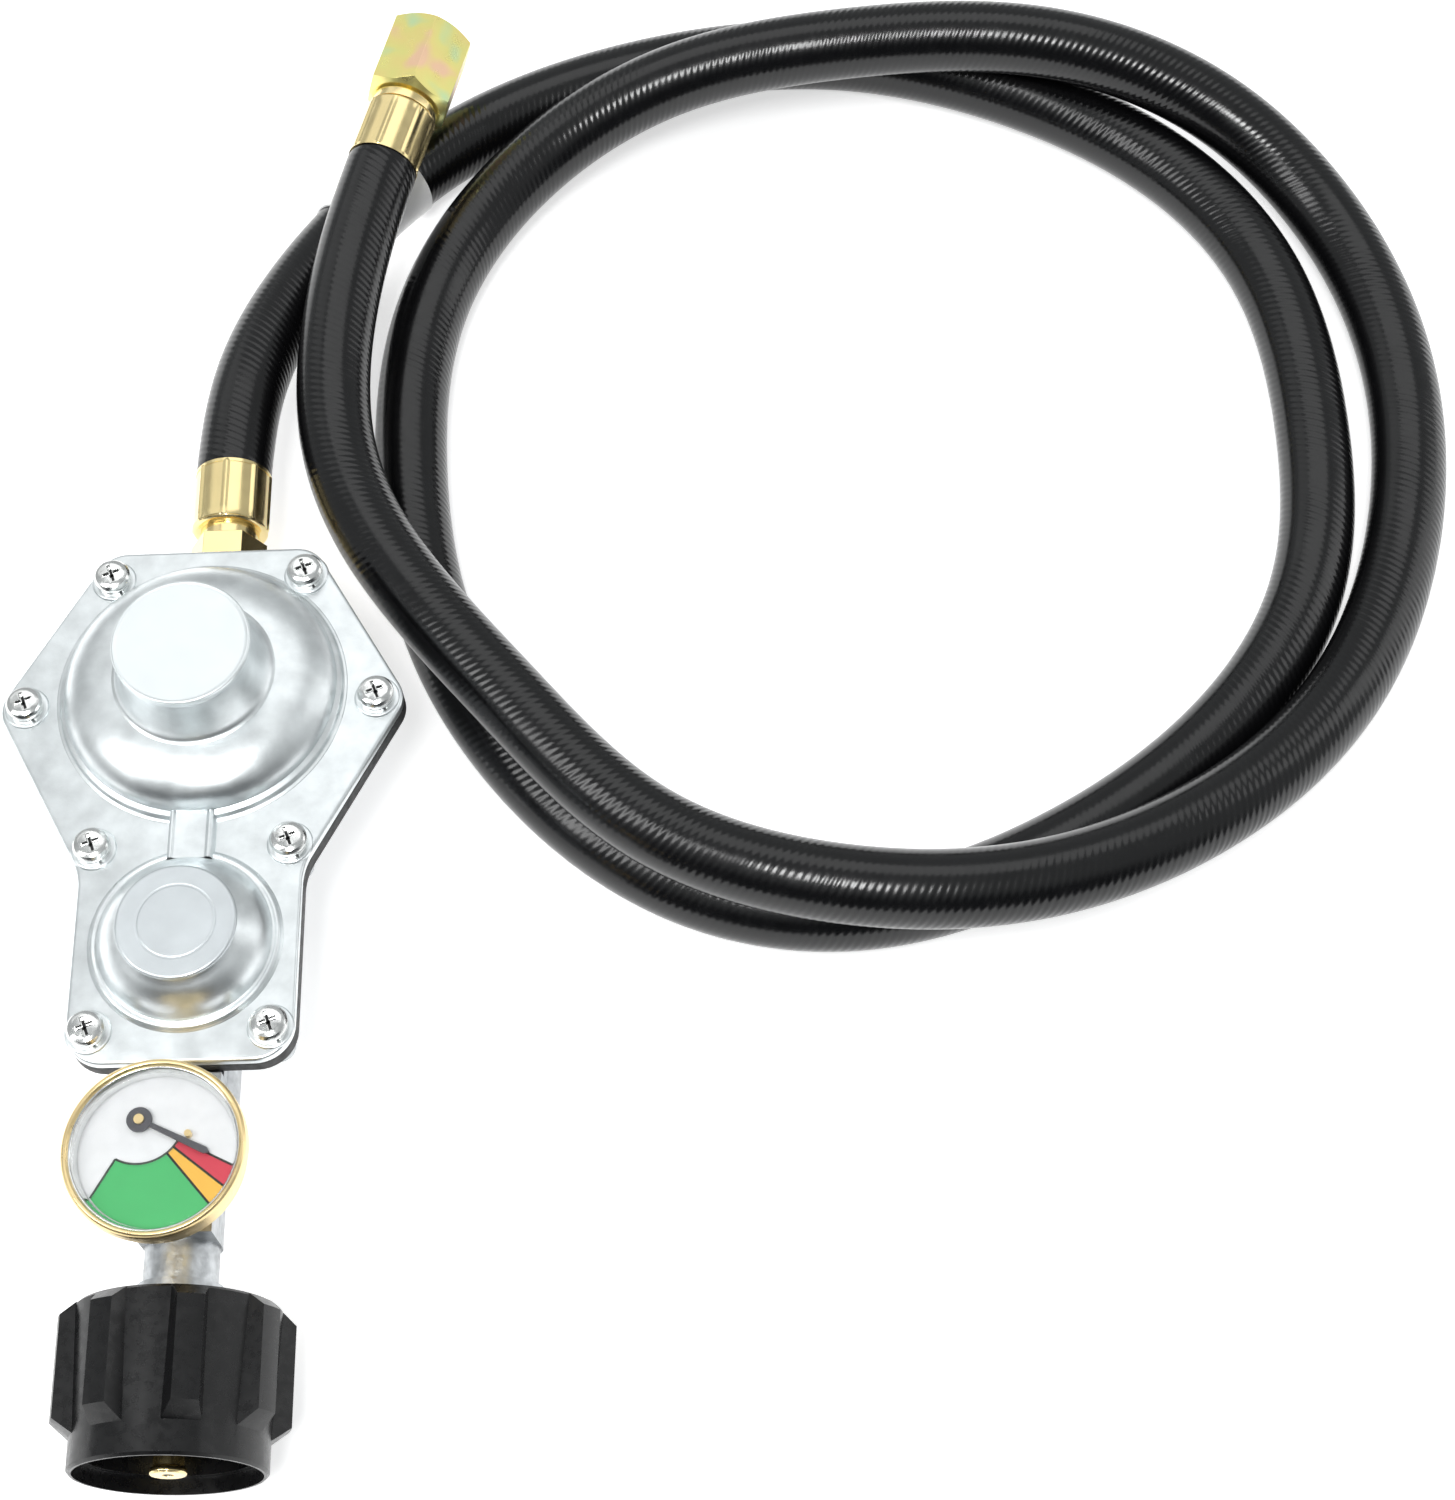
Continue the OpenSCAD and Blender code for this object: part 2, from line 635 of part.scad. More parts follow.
// ---- hose outlet ----
hex_end = 94.5;
ferrule_start = 97.6;
ferrule_end = 113;
stem_r = 4.7;
module outlet_fitting() {
    plug_y = 76.5;
    hex_start = 84;
    hex_r = 8.6;
    neck_r = 6.6;
    stem_l = 15;
    bore_r = 3.2;
    color("goldenrod") along_y(0) difference() {
        union() {
            translate([0, 0, plug_y]) cylinder(h = 8, r = outlet_socket_r - 0.05);
            translate([0, 0, hex_start]) cylinder(h = hex_end - hex_start, r = hex_r, $fn = 6);
            translate([0, 0, hex_end - eps]) cylinder(h = ferrule_start - hex_end, r = neck_r);
            translate([0, 0, ferrule_start - 1]) cylinder(h = stem_l, r = stem_r);
        }
        translate([0, 0, plug_y - 0.5]) cylinder(h = 40, r = bore_r);
    }
}
// A crimped sleeve whose closed end is at z = 0
module crimp_sleeve(length) {
    flats = 24;
    r = ferrule_d / 2;
    flat_r = r - 0.12;
    hole_r = stem_r + 0.05;
    shoulder = 0.8;
    end_t = 2;
    color("goldenrod") difference() {
        intersection() {
            rotate_extrude() polygon([[hole_r, 0], [r - shoulder, 0], [r, shoulder], [r, length - 0.4],
                [r - 0.3, length], [hole_r, length]]);
            cylinder(h = length, r = flat_r / cos(180 / flats), $fn = flats);
        }
        translate([0, 0, end_t]) cylinder(h = length, r = hose_d / 2);
    }
}
module outlet_ferrule() {
    along_y(ferrule_start) crimp_sleeve(ferrule_end - ferrule_start);
}

// ---- hose route: round numbers chosen by hand, millimetres ----
route = [[0, 113, 23.5], [1, 145, 23], [19, 190, 11], [50, 223, 8.5], [95, 240, 8.5], [143, 244, 9],
    [188, 229, 8.5], [225, 204, 8.5], [247, 169, 9], [251, 124, 8.5], [247, 81, 8.5], [222, 45, 8.5],
    [185, 19, 8.5], [142, 3, 8.5], [99, 11, 8.5], [65, 41, 8.5], [43, 80, 8.5], [37, 125, 8.5],
    [39, 169, 8.5], [61, 206, 11], [99, 228, 21], [144, 232, 25], [192, 230, 29], [235, 217, 18.5],
    [263, 185, 8.5], [274, 142, 9], [270, 98, 8.5], [253, 56, 11.5], [222, 24, 18.5], [180, 4, 23.5],
    [135, 3, 27.5], [92, 18, 25.5], [64, 53, 26.5], [35, 87, 27], [20, 123, 24.5], [24, 167, 29.2],
    [36, 209, 29.2]];
last = len(route) - 1;
spline_points = concat([2 * route[0] - route[1]], route, [2 * route[last] - route[last - 1]]);
// The smooth curve that the route's points steer, at t spans from its start
function on_route(t) = let (
    i = min(floor(t), last - 1),
    u = t - i,
    a = spline_points[i],
    b = spline_points[i + 1],
    c = spline_points[i + 2],
    d = spline_points[i + 3]
    ) (pow(1 - u, 3) * a + (3 * pow(u, 3) - 6 * u * u + 4) * b + (1 + 3 * u + 3 * u * u - 3 * pow(u, 3)) * c
        + pow(u, 3) * d) / 6;
function heading(points, k) = unit(points[min(k + 1, len(points) - 1)] - points[max(k - 1, 0)]);
// A round tube along points, swept as one polyhedron with a corner straight down
module swept(points, r, sides) {
    rings = [for (k = [0 : len(points) - 1]) let (
        ahead = heading(points, k),
        across = unit(cross(ahead, [0, 0, 1])),
        up = cross(across, ahead))
        for (s = [0 : sides - 1]) let (a = 360 * (s + 0.5) / sides)
        points[k] + r * cos(a) * across + r * sin(a) * up];
    polyhedron(points = rings, faces = tube_faces(len(points), sides));
}
hose_sides = 10;
hose_points = concat([[0, ferrule_start + 3, axis_z]], [for (k = [0 : 2 * last]) on_route(k / 2)]);
label_span = [2, 2.5];
label_steps = 4;
label_points = [for (k = [0 : label_steps])
    on_route(label_span[0] + (label_span[1] - label_span[0]) * k / label_steps)];
module hose() {
    color("#181818") swept(hose_points, hose_d / 2, hose_sides);
}
// A closed sleeve: an outer skin, an inner skin and the two ring faces between them
module sleeve(points, r_out, r_in, sides) {
    n = len(points) * sides;
    function skin(r) = [for (k = [0 : len(points) - 1]) let (
        ahead = heading(points, k),
        across = unit(cross(ahead, [0, 0, 1])),
        up = cross(across, ahead))
        for (s = [0 : sides - 1]) let (a = 360 * (s + 0.5) / sides)
        points[k] + r * cos(a) * across + r * sin(a) * up];
    wall = [for (k = [0 : len(points) - 2]) for (s = [0 : sides - 1])
        let (a = k * sides + s, b = k * sides + (s + 1) % sides)
        each [[a, a + sides, b], [b, a + sides, b + sides]]];
    inner_wall = [for (f = wall) [f[0] + n, f[2] + n, f[1] + n]];
    ends = [for (s = [0 : sides - 1]) let (b = (s + 1) % sides, e = n - sides)
        each [[s, b, s + n], [b, b + n, s + n], [e + s, e + s + n, e + b], [e + b, e + s + n, e + b + n]]];
    polyhedron(points = concat(skin(r_out), skin(r_in)), faces = concat(wall, inner_wall, ends));
}
module hose_label() {
    gap = 0.1;
    film = 0.4;
    sides = 12;
    color("white") sleeve(label_points, hose_d / 2 + gap + film, hose_d / 2 + gap, sides);
}

// ---- far end: its own +Z runs along the hose's last stretch, from the ferrule's mouth ----
far_dir = unit(route[last] - route[last - 1]);
hose_in_ferrule = 14;
far_mouth = route[last] - hose_in_ferrule * far_dir;
module at_far_end(t) {
    translate(far_mouth + t * far_dir) rotate([-90, 0, atan2(far_dir.y, far_dir.x) - 90]) children();
}
far_ferrule_end = 15.5;
nut_start = 18.5;
nut_end = 39.5;
neck_r = 6.5;
flare_thread_r = 7.6;
flare_thread_l = 10;
flare_relief_r = 7.9;
module far_ferrule() {
    at_far_end(far_ferrule_end) rotate([180, 0, 0]) crimp_sleeve(far_ferrule_end);
}
module flare_insert() {
    stop_r = 8;
    cone_z = 21.6;
    head_r_in = 7.3;
    bore_r = 3;
    color("goldenrod") at_far_end(0) difference() {
        rotate_extrude() polygon([[0, 1.5], [stem_r, 1.5], [stem_r, far_ferrule_end + 0.1],
            [stop_r, far_ferrule_end + 0.1], [stop_r, nut_start - 0.6], [neck_r, nut_start - 0.6],
            [neck_r, cone_z], [head_r_in, cone_z], [head_r_in, cone_z + 1.8], [3.6, cone_z + 6],
            [0, cone_z + 6]]);
        translate([0, 0, -1]) cylinder(h = 60, r = bore_r);
    }
}
module flare_nut() {
    corner_r = flare_af / sqrt(3);
    hex_turn = 46;
    chamfer = 0.9;
    turn_gap = 0.06;
    relief_z = 21.3;
    color("khaki") at_far_end(0) difference() {
        intersection() {
            translate([0, 0, nut_start]) rotate([0, 0, hex_turn])
                cylinder(h = nut_end - nut_start, r = corner_r, $fn = 6);
            rotate_extrude() polygon([[0, nut_start], [corner_r - 2.4, nut_start],
                [corner_r, nut_start + 1.5], [corner_r, nut_end - chamfer], [corner_r - 1.5, nut_end],
                [0, nut_end]]);
        }
        cylinder(h = 30, r = neck_r + turn_gap);
        translate([0, 0, nut_end - flare_thread_l]) cylinder(h = 20, r = flare_thread_r);
        translate([0, 0, relief_z]) cylinder(h = nut_end - flare_thread_l - relief_z, r = flare_relief_r);
    }
}

cover();
second_stage_cap();
adjuster_screw();
second_stage_spring();
second_diaphragm_plate();
second_diaphragm();
second_stage_lever();
second_lever_pin();
second_stage_valve();
second_stage_orifice();
first_stage_cap();
first_stage_spring();
first_diaphragm_plate();
first_diaphragm();
first_stage_lever();
first_lever_pin();
first_stage_valve();
first_stage_orifice();
diaphragm_gasket();
lower_body();
cover_screws();
lock_washers();
vent_screen();
inlet_filter();
gauge_socket();
gauge_case();
gauge_bezel();
gauge_lens();
gauge_dial();
gauge_stop_pin();
gauge_movement();
bourdon_tube();
gauge_pointer();
pointer_arbor();
tank_nut();
fusible_bushing();
inlet_nipple();
nipple_seal();
flow_check_poppet();
poppet_spring();
outlet_fitting();
outlet_ferrule();
hose();
hose_label();
far_ferrule();
flare_insert();
flare_nut();
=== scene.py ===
"""Looks of the propane regulator hose: a two-stage regulator with a gauge, a tank nut and a looped hose.

Lengths are written in millimetres and turned into metres by MM where a mesh or a tool needs them; only the
camera and the lights are placed in metres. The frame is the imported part's: +Y from the tank nut to the hose
outlet, +Z up, the origin under the regulator's middle.
"""

import json
import math

import bmesh
import bpy
from mathutils import Matrix, Vector
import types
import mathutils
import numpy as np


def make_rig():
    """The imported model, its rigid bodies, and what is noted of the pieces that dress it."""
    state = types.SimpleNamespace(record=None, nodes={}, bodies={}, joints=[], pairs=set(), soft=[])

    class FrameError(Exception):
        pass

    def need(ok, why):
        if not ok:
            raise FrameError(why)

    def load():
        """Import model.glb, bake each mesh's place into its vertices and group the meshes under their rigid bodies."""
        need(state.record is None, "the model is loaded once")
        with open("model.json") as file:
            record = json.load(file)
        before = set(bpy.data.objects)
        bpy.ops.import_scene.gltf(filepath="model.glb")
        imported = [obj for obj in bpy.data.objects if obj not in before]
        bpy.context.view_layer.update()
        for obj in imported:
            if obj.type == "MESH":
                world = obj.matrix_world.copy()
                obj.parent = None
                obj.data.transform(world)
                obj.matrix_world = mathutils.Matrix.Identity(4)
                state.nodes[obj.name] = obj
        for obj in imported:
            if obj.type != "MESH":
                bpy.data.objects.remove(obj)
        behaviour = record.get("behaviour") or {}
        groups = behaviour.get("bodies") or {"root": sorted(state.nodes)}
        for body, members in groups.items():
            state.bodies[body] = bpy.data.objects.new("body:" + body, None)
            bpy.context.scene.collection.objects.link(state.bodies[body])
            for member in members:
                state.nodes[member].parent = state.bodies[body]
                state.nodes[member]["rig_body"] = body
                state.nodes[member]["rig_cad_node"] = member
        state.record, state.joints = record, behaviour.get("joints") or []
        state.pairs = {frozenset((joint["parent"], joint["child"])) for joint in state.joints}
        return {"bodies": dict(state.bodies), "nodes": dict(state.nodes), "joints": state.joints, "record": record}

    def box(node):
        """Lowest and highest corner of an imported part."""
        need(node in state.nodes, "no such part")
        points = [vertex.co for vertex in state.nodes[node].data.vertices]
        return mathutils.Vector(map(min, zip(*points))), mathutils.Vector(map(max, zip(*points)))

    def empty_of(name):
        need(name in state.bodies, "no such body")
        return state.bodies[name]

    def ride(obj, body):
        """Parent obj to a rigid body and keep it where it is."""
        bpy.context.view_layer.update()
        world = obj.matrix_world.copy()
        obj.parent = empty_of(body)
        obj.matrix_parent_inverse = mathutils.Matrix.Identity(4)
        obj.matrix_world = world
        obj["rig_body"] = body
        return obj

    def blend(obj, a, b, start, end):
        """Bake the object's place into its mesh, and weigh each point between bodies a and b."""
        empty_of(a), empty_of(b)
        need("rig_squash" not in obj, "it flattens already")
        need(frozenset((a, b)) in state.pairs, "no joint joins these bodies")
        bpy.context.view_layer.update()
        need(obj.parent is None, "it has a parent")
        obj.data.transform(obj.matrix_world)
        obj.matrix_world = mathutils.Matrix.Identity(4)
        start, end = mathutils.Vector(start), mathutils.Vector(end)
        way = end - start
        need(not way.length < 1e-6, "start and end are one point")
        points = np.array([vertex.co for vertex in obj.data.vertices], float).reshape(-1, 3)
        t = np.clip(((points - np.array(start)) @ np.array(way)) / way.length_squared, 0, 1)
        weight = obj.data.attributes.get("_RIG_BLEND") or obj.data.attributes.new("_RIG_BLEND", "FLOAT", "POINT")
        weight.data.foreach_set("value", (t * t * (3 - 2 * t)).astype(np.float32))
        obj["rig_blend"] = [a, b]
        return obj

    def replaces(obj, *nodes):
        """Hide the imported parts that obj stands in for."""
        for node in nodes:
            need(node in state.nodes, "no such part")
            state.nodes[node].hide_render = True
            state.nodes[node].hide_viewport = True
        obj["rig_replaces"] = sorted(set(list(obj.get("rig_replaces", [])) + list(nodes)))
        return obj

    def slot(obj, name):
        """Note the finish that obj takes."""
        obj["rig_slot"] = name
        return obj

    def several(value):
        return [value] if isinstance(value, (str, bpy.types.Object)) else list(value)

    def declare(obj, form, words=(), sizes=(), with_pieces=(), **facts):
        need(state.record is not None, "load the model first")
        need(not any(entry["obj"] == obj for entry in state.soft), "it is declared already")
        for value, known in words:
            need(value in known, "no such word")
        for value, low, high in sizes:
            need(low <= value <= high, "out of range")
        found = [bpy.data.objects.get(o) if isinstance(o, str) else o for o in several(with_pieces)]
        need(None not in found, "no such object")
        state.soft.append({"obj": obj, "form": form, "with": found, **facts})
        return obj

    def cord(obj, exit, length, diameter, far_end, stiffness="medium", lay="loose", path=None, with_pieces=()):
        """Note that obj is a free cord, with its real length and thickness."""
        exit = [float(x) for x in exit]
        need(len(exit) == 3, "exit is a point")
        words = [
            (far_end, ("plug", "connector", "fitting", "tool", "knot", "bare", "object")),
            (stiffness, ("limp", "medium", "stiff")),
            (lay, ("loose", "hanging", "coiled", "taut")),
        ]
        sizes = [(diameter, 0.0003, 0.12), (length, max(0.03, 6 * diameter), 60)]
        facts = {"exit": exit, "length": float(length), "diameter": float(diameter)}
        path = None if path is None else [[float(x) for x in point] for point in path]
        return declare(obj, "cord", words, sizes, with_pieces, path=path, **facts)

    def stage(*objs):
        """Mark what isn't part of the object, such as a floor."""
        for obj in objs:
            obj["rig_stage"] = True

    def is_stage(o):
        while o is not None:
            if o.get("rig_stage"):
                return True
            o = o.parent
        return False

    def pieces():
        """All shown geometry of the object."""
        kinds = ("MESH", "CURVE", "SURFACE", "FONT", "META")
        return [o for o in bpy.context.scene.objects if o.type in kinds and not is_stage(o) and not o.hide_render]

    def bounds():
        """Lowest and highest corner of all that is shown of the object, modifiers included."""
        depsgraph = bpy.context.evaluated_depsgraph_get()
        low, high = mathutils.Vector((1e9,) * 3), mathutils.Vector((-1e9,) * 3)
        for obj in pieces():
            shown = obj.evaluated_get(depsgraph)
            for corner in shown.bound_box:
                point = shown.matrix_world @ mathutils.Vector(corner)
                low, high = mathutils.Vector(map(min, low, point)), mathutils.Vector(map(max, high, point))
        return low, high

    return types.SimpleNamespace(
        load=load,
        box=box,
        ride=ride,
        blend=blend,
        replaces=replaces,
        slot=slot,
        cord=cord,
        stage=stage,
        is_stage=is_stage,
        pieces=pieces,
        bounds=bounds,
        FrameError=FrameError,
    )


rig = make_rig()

MM = 0.001
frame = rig.load()
size_at_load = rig.bounds()
nodes = frame["nodes"]

# ---- the object's main sizes, millimetres ----
AXIS_Z = 23.5
PLATE_TOP = 40.0
PLATE_BOTTOM = 37.8
BIG_Y = 49.0
SMALL_Y = -8.0
GAUGE_Y = -57.0
GAUGE_TOP = 55.5
DIAL_Z = 51.5
PIVOT = (-3.7, -50.5)
FERRULE_START = 97.6
FERRULE_END = 113.0
HOSE_R = 8.5
FAR_GRIP = 14
SCREW_SPOTS = [(21, 77), (37.5, 46.5), (20.5, 13), (18.5, -27.5)]


# ---- camera, floor and lights ----
def make_camera():
    """The photo's view: from in front of the tank nut, about 64 degrees above the ground."""
    place = Vector((0.12325, -0.22759, 0.56808))
    forward = Vector((-0.01933, 0.44002, -0.89778)).normalized()
    right = forward.cross(Vector((0.03275, 0.89774, 0.4393))).normalized()
    up = right.cross(forward)
    data = bpy.data.cameras.new("camera")
    data.lens = 67.2
    data.sensor_width = 36
    data.clip_end = 20
    camera = bpy.data.objects.new("camera", data)
    camera.matrix_world = Matrix.Translation(place) @ Matrix((right, up, -forward)).transposed().to_4x4()
    bpy.context.collection.objects.link(camera)
    bpy.context.scene.camera = camera


def area_light(name, place, aim, width, height, power):
    """A rectangular light; place, aim, width and height are in metres, power in watts."""
    data = bpy.data.lights.new(name, "AREA")
    data.shape = "RECTANGLE"
    data.size = width
    data.size_y = height
    data.energy = power
    light = bpy.data.objects.new(name, data)
    light.location = place
    light.rotation_euler = (Vector(aim) - Vector(place)).to_track_quat("-Z", "Y").to_euler()
    bpy.context.collection.objects.link(light)
    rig.stage(light)


def make_studio():
    middle = (0.1, 0.1, 0.02)
    area_light("back_softbox", (0.16, 0.95, 1.55), middle, 1.6, 0.9, 4.6)
    area_light("left_key", (-0.85, -0.25, 1.3), middle, 0.35, 1.1, 7)
    area_light("top_key", (0.02, -0.5, 1.35), middle, 0.26, 0.4, 8)
    area_light("right_strip", (1.35, 0.4, 0.55), middle, 0.5, 1.2, 2.2)
    area_light("left_card", (-0.8, 1.1, 0.9), middle, 0.8, 0.8, 0.9)
    bpy.context.scene.world = studio_world()
    bpy.context.scene.view_settings.view_transform = "Standard"


def studio_world():
    """A pale room, dark low down behind the camera, so that polished metal shows its form."""
    pale = (0.44, 0.455, 0.46, 1)
    dim = (0.05, 0.055, 0.06, 1)
    world = bpy.data.worlds.new("studio")
    world.use_nodes = True
    tree = world.node_tree
    background = tree.nodes["Background"]
    split = tree.nodes.new("ShaderNodeSeparateXYZ")
    tree.links.new(tree.nodes.new("ShaderNodeTexCoord").outputs["Generated"], split.inputs[0])
    front = map_range(tree, split.outputs["Y"], (-0.35, -0.75), (0, 1))
    low = map_range(tree, split.outputs["Z"], (0.8, 0.45), (0, 1))
    dark = tree.nodes.new("ShaderNodeMath")
    dark.operation = "MULTIPLY"
    tree.links.new(front, dark.inputs[0])
    tree.links.new(low, dark.inputs[1])
    shade = tree.nodes.new("ShaderNodeMix")
    shade.data_type = "RGBA"
    shade.inputs["A"].default_value = pale
    shade.inputs["B"].default_value = dim
    tree.links.new(dark.outputs[0], shade.inputs["Factor"])
    tree.links.new(shade.outputs["Result"], background.inputs["Color"])
    return world


def map_range(tree, value, source, target):
    """A smooth step of value from the source interval to the target one."""
    node = tree.nodes.new("ShaderNodeMapRange")
    node.interpolation_type = "SMOOTHSTEP"
    for name, number in zip(("From Min", "From Max", "To Min", "To Max"), (*source, *target)):
        node.inputs[name].default_value = number
    tree.links.new(value, node.inputs["Value"])
    return node.outputs[0]


# ---- node helpers ----
class Shader:
    """A principled material that is built up from a few kinds of variation."""

    def __init__(self, name, color, metallic, roughness):
        self.material = bpy.data.materials.new(name)
        self.material.use_nodes = True
        self.tree = self.material.node_tree
        self.shader = self.tree.nodes["Principled BSDF"]
        self.color = color
        self.roughness = roughness
        self.shader.inputs["Base Color"].default_value = (*color, 1)
        self.shader.inputs["Metallic"].default_value = metallic
        self.shader.inputs["Roughness"].default_value = roughness
        self.coords = self.add("ShaderNodeTexCoord").outputs["Object"]
        self.height = None

    def add(self, kind, **settings):
        node = self.tree.nodes.new(kind)
        for key, value in settings.items():
            setattr(node, key, value)
        return node

    def link(self, source, target):
        self.tree.links.new(source, target)

    def math(self, operation, a, b=None):
        node = self.add("ShaderNodeMath", operation=operation)
        for socket, value in zip(node.inputs, (a, b)):
            if isinstance(value, (int, float)):
                socket.default_value = value
            elif value is not None:
                self.link(value, socket)
        return node.outputs[0]

    def stretched(self, scale):
        """The object's coordinates, scaled along each axis."""
        node = self.add("ShaderNodeMapping")
        node.inputs["Scale"].default_value = scale
        self.link(self.coords, node.inputs["Vector"])
        return node.outputs[0]

    def noise(self, size_mm, detail=3.0, stretch=(1, 1, 1)):
        """Noise whose blotches are about size_mm wide, from 0 to 1."""
        node = self.add("ShaderNodeTexNoise")
        node.inputs["Scale"].default_value = 1 / (size_mm * MM)
        node.inputs["Detail"].default_value = detail
        self.link(self.stretched(stretch), node.inputs["Vector"])
        return node.outputs["Fac"]

    def cells(self, size_mm):
        """Distance to the nearest of scattered points about size_mm apart."""
        node = self.add("ShaderNodeTexVoronoi")
        node.inputs["Scale"].default_value = 1 / (size_mm * MM)
        self.link(self.coords, node.inputs["Vector"])
        return node.outputs["Distance"]

    def spread(self, value, low, high):
        """The middle of a noise's range, stretched to run from low to high."""
        start, stop = 0.3, 0.7
        node = self.add("ShaderNodeMapRange")
        for name, number in zip(("From Min", "From Max", "To Min", "To Max"), (start, stop, low, high)):
            node.inputs[name].default_value = number
        self.link(value, node.inputs["Value"])
        return node.outputs[0]

    def tint(self, value, stops):
        """Colours along value, from (position, colour) stops."""
        ramp = self.add("ShaderNodeValToRGB")
        while len(ramp.color_ramp.elements) < len(stops):
            ramp.color_ramp.elements.new(0.5)
        for element, (position, color) in zip(ramp.color_ramp.elements, stops):
            element.position = position
            element.color = (*color, 1)
        self.link(value, ramp.inputs["Fac"])
        self.link(ramp.outputs["Color"], self.shader.inputs["Base Color"])
        return self

    def mottle(self, value, amount):
        """The colour, lighter and darker by amount along value."""
        dark = [c * (1 - amount) for c in self.color]
        light = [min(1, c * (1 + amount)) for c in self.color]
        return self.tint(value, [(0.3, dark), (0.7, light)])

    def rough(self, value, amount):
        """The roughness, lower and higher by amount along value."""
        lowest = self.roughness - amount
        self.link(self.spread(value, lowest, self.roughness + amount), self.shader.inputs["Roughness"])
        return self

    def bump(self, value, depth_mm, strength):
        """Relief of depth_mm along value, on top of any relief that is there already."""
        node = self.add("ShaderNodeBump")
        node.inputs["Distance"].default_value = depth_mm * MM
        node.inputs["Strength"].default_value = strength
        self.link(value, node.inputs["Height"])
        if self.height is not None:
            self.link(self.height, node.inputs["Normal"])
        self.height = node.outputs["Normal"]
        self.link(self.height, self.shader.inputs["Normal"])
        return self


# ---- materials, one function each ----
UV_UNIT = 10


def cover_metal():
    m = Shader("cover_metal", (0.80, 0.84, 0.85), 1, 0.36)
    m.mottle(m.noise(5, 6), 0.10).rough(m.noise(9, 3), 0.05)
    m.bump(m.noise(2.4, 4), 0.09, 0.4).bump(m.noise(0.4, 3), 0.02, 0.6)
    return m.material


def cap_plate():
    m = Shader("cap_plate", (0.86, 0.905, 0.915), 1, 0.40)
    m.mottle(m.noise(12, 2), 0.012).rough(m.noise(4, 3), 0.03)
    m.bump(m.noise(0.4, 2), 0.005, 0.4)
    return m.material


def pressed_cap():
    m = Shader("pressed_cap", (0.66, 0.70, 0.72), 1, 0.42)
    m.mottle(m.noise(7, 3), 0.05).rough(m.noise(3, 3), 0.05)
    m.bump(m.noise(0.5, 3), 0.02, 0.5)
    return m.material


def body_metal():
    m = Shader("body_metal", (0.50, 0.52, 0.535), 1, 0.42)
    m.mottle(m.noise(3, 6), 0.22).rough(m.noise(1.2, 5), 0.10)
    m.bump(m.noise(1.6, 5), 0.16, 0.6).bump(m.noise(0.7, 3), 0.04, 0.6)
    return m.material


def screw_steel():
    m = Shader("screw_steel", (0.80, 0.81, 0.80), 1, 0.20)
    m.mottle(m.noise(1.5, 4), 0.06).rough(m.noise(0.8, 4), 0.07)
    m.bump(m.noise(0.6, 3), 0.015, 0.5)
    return m.material


def spring_steel():
    m = Shader("spring_steel", (0.50, 0.51, 0.53), 1, 0.3)
    m.mottle(m.noise(1.5, 4), 0.1).rough(m.noise(0.8, 4), 0.08)
    m.bump(m.noise(0.3, 2), 0.01, 0.5)
    return m.material


def brass_fitting():
    m = Shader("brass_fitting", (0.98, 0.79, 0.40), 1, 0.20)
    m.mottle(m.noise(8, 2), 0.04).rough(m.noise(4, 3), 0.04)
    m.bump(m.noise(0.5, 3, (1, 0.15, 1)), 0.012, 0.5)
    return m.material


def gauge_brass():
    m = Shader("gauge_brass", (0.92, 0.72, 0.38), 1, 0.30)
    m.mottle(m.noise(8, 2), 0.04).rough(m.noise(4, 3), 0.04)
    m.bump(m.noise(0.6, 3), 0.004, 0.4)
    return m.material


def diaphragm_rubber():
    m = Shader("diaphragm_rubber", (0.012, 0.012, 0.013), 0, 0.55)
    m.mottle(m.noise(4, 3), 0.3).rough(m.noise(1.5, 3), 0.1)
    m.bump(m.noise(0.5, 3), 0.05, 0.5)
    return m.material


def seat_rubber():
    m = Shader("seat_rubber", (0.02, 0.02, 0.022), 0, 0.5)
    m.mottle(m.noise(2, 3), 0.2).rough(m.noise(1, 3), 0.1)
    m.bump(m.noise(0.4, 3), 0.02, 0.5)
    return m.material


def printed(name, color):
    """Ink or paint on the dial."""
    m = Shader(name, color, 0, 0.45)
    m.mottle(m.noise(3, 3), 0.03).rough(m.noise(1.2, 3), 0.06)
    m.bump(m.noise(0.35, 2), 0.004, 0.5)
    return m.material


def pointer_grey():
    m = Shader("pointer_grey", (0.085, 0.085, 0.095), 0, 0.45)
    m.mottle(m.noise(0.8, 3), 0.12).rough(m.noise(0.5, 3), 0.1)
    m.bump(m.noise(0.25, 2), 0.008, 0.6)
    return m.material


def gauge_glass():
    m = Shader("gauge_glass", (0.96, 0.98, 0.98), 0, 0.04)
    m.shader.inputs["Transmission Weight"].default_value = 1
    m.shader.inputs["Alpha"].default_value = 0.06
    m.rough(m.noise(4, 3), 0.02)
    m.bump(m.noise(2, 2), 0.001, 0.4)
    return m.material


def nut_plastic():
    m = Shader("nut_plastic", (0.005, 0.005, 0.0055), 0, 0.29)
    m.shader.inputs["Specular IOR Level"].default_value = 0.4
    m.mottle(m.noise(5, 3), 0.25).rough(m.noise(2, 4), 0.07)
    m.bump(m.noise(1, 3), 0.02, 0.5).bump(m.noise(6, 2), 0.12, 0.3)
    return m.material


def bushing_plastic():
    m = Shader("bushing_plastic", (0.02, 0.12, 0.04), 0, 0.4)
    m.mottle(m.noise(2, 3), 0.15).rough(m.noise(1, 3), 0.08)
    m.bump(m.noise(0.5, 3), 0.02, 0.5)
    return m.material


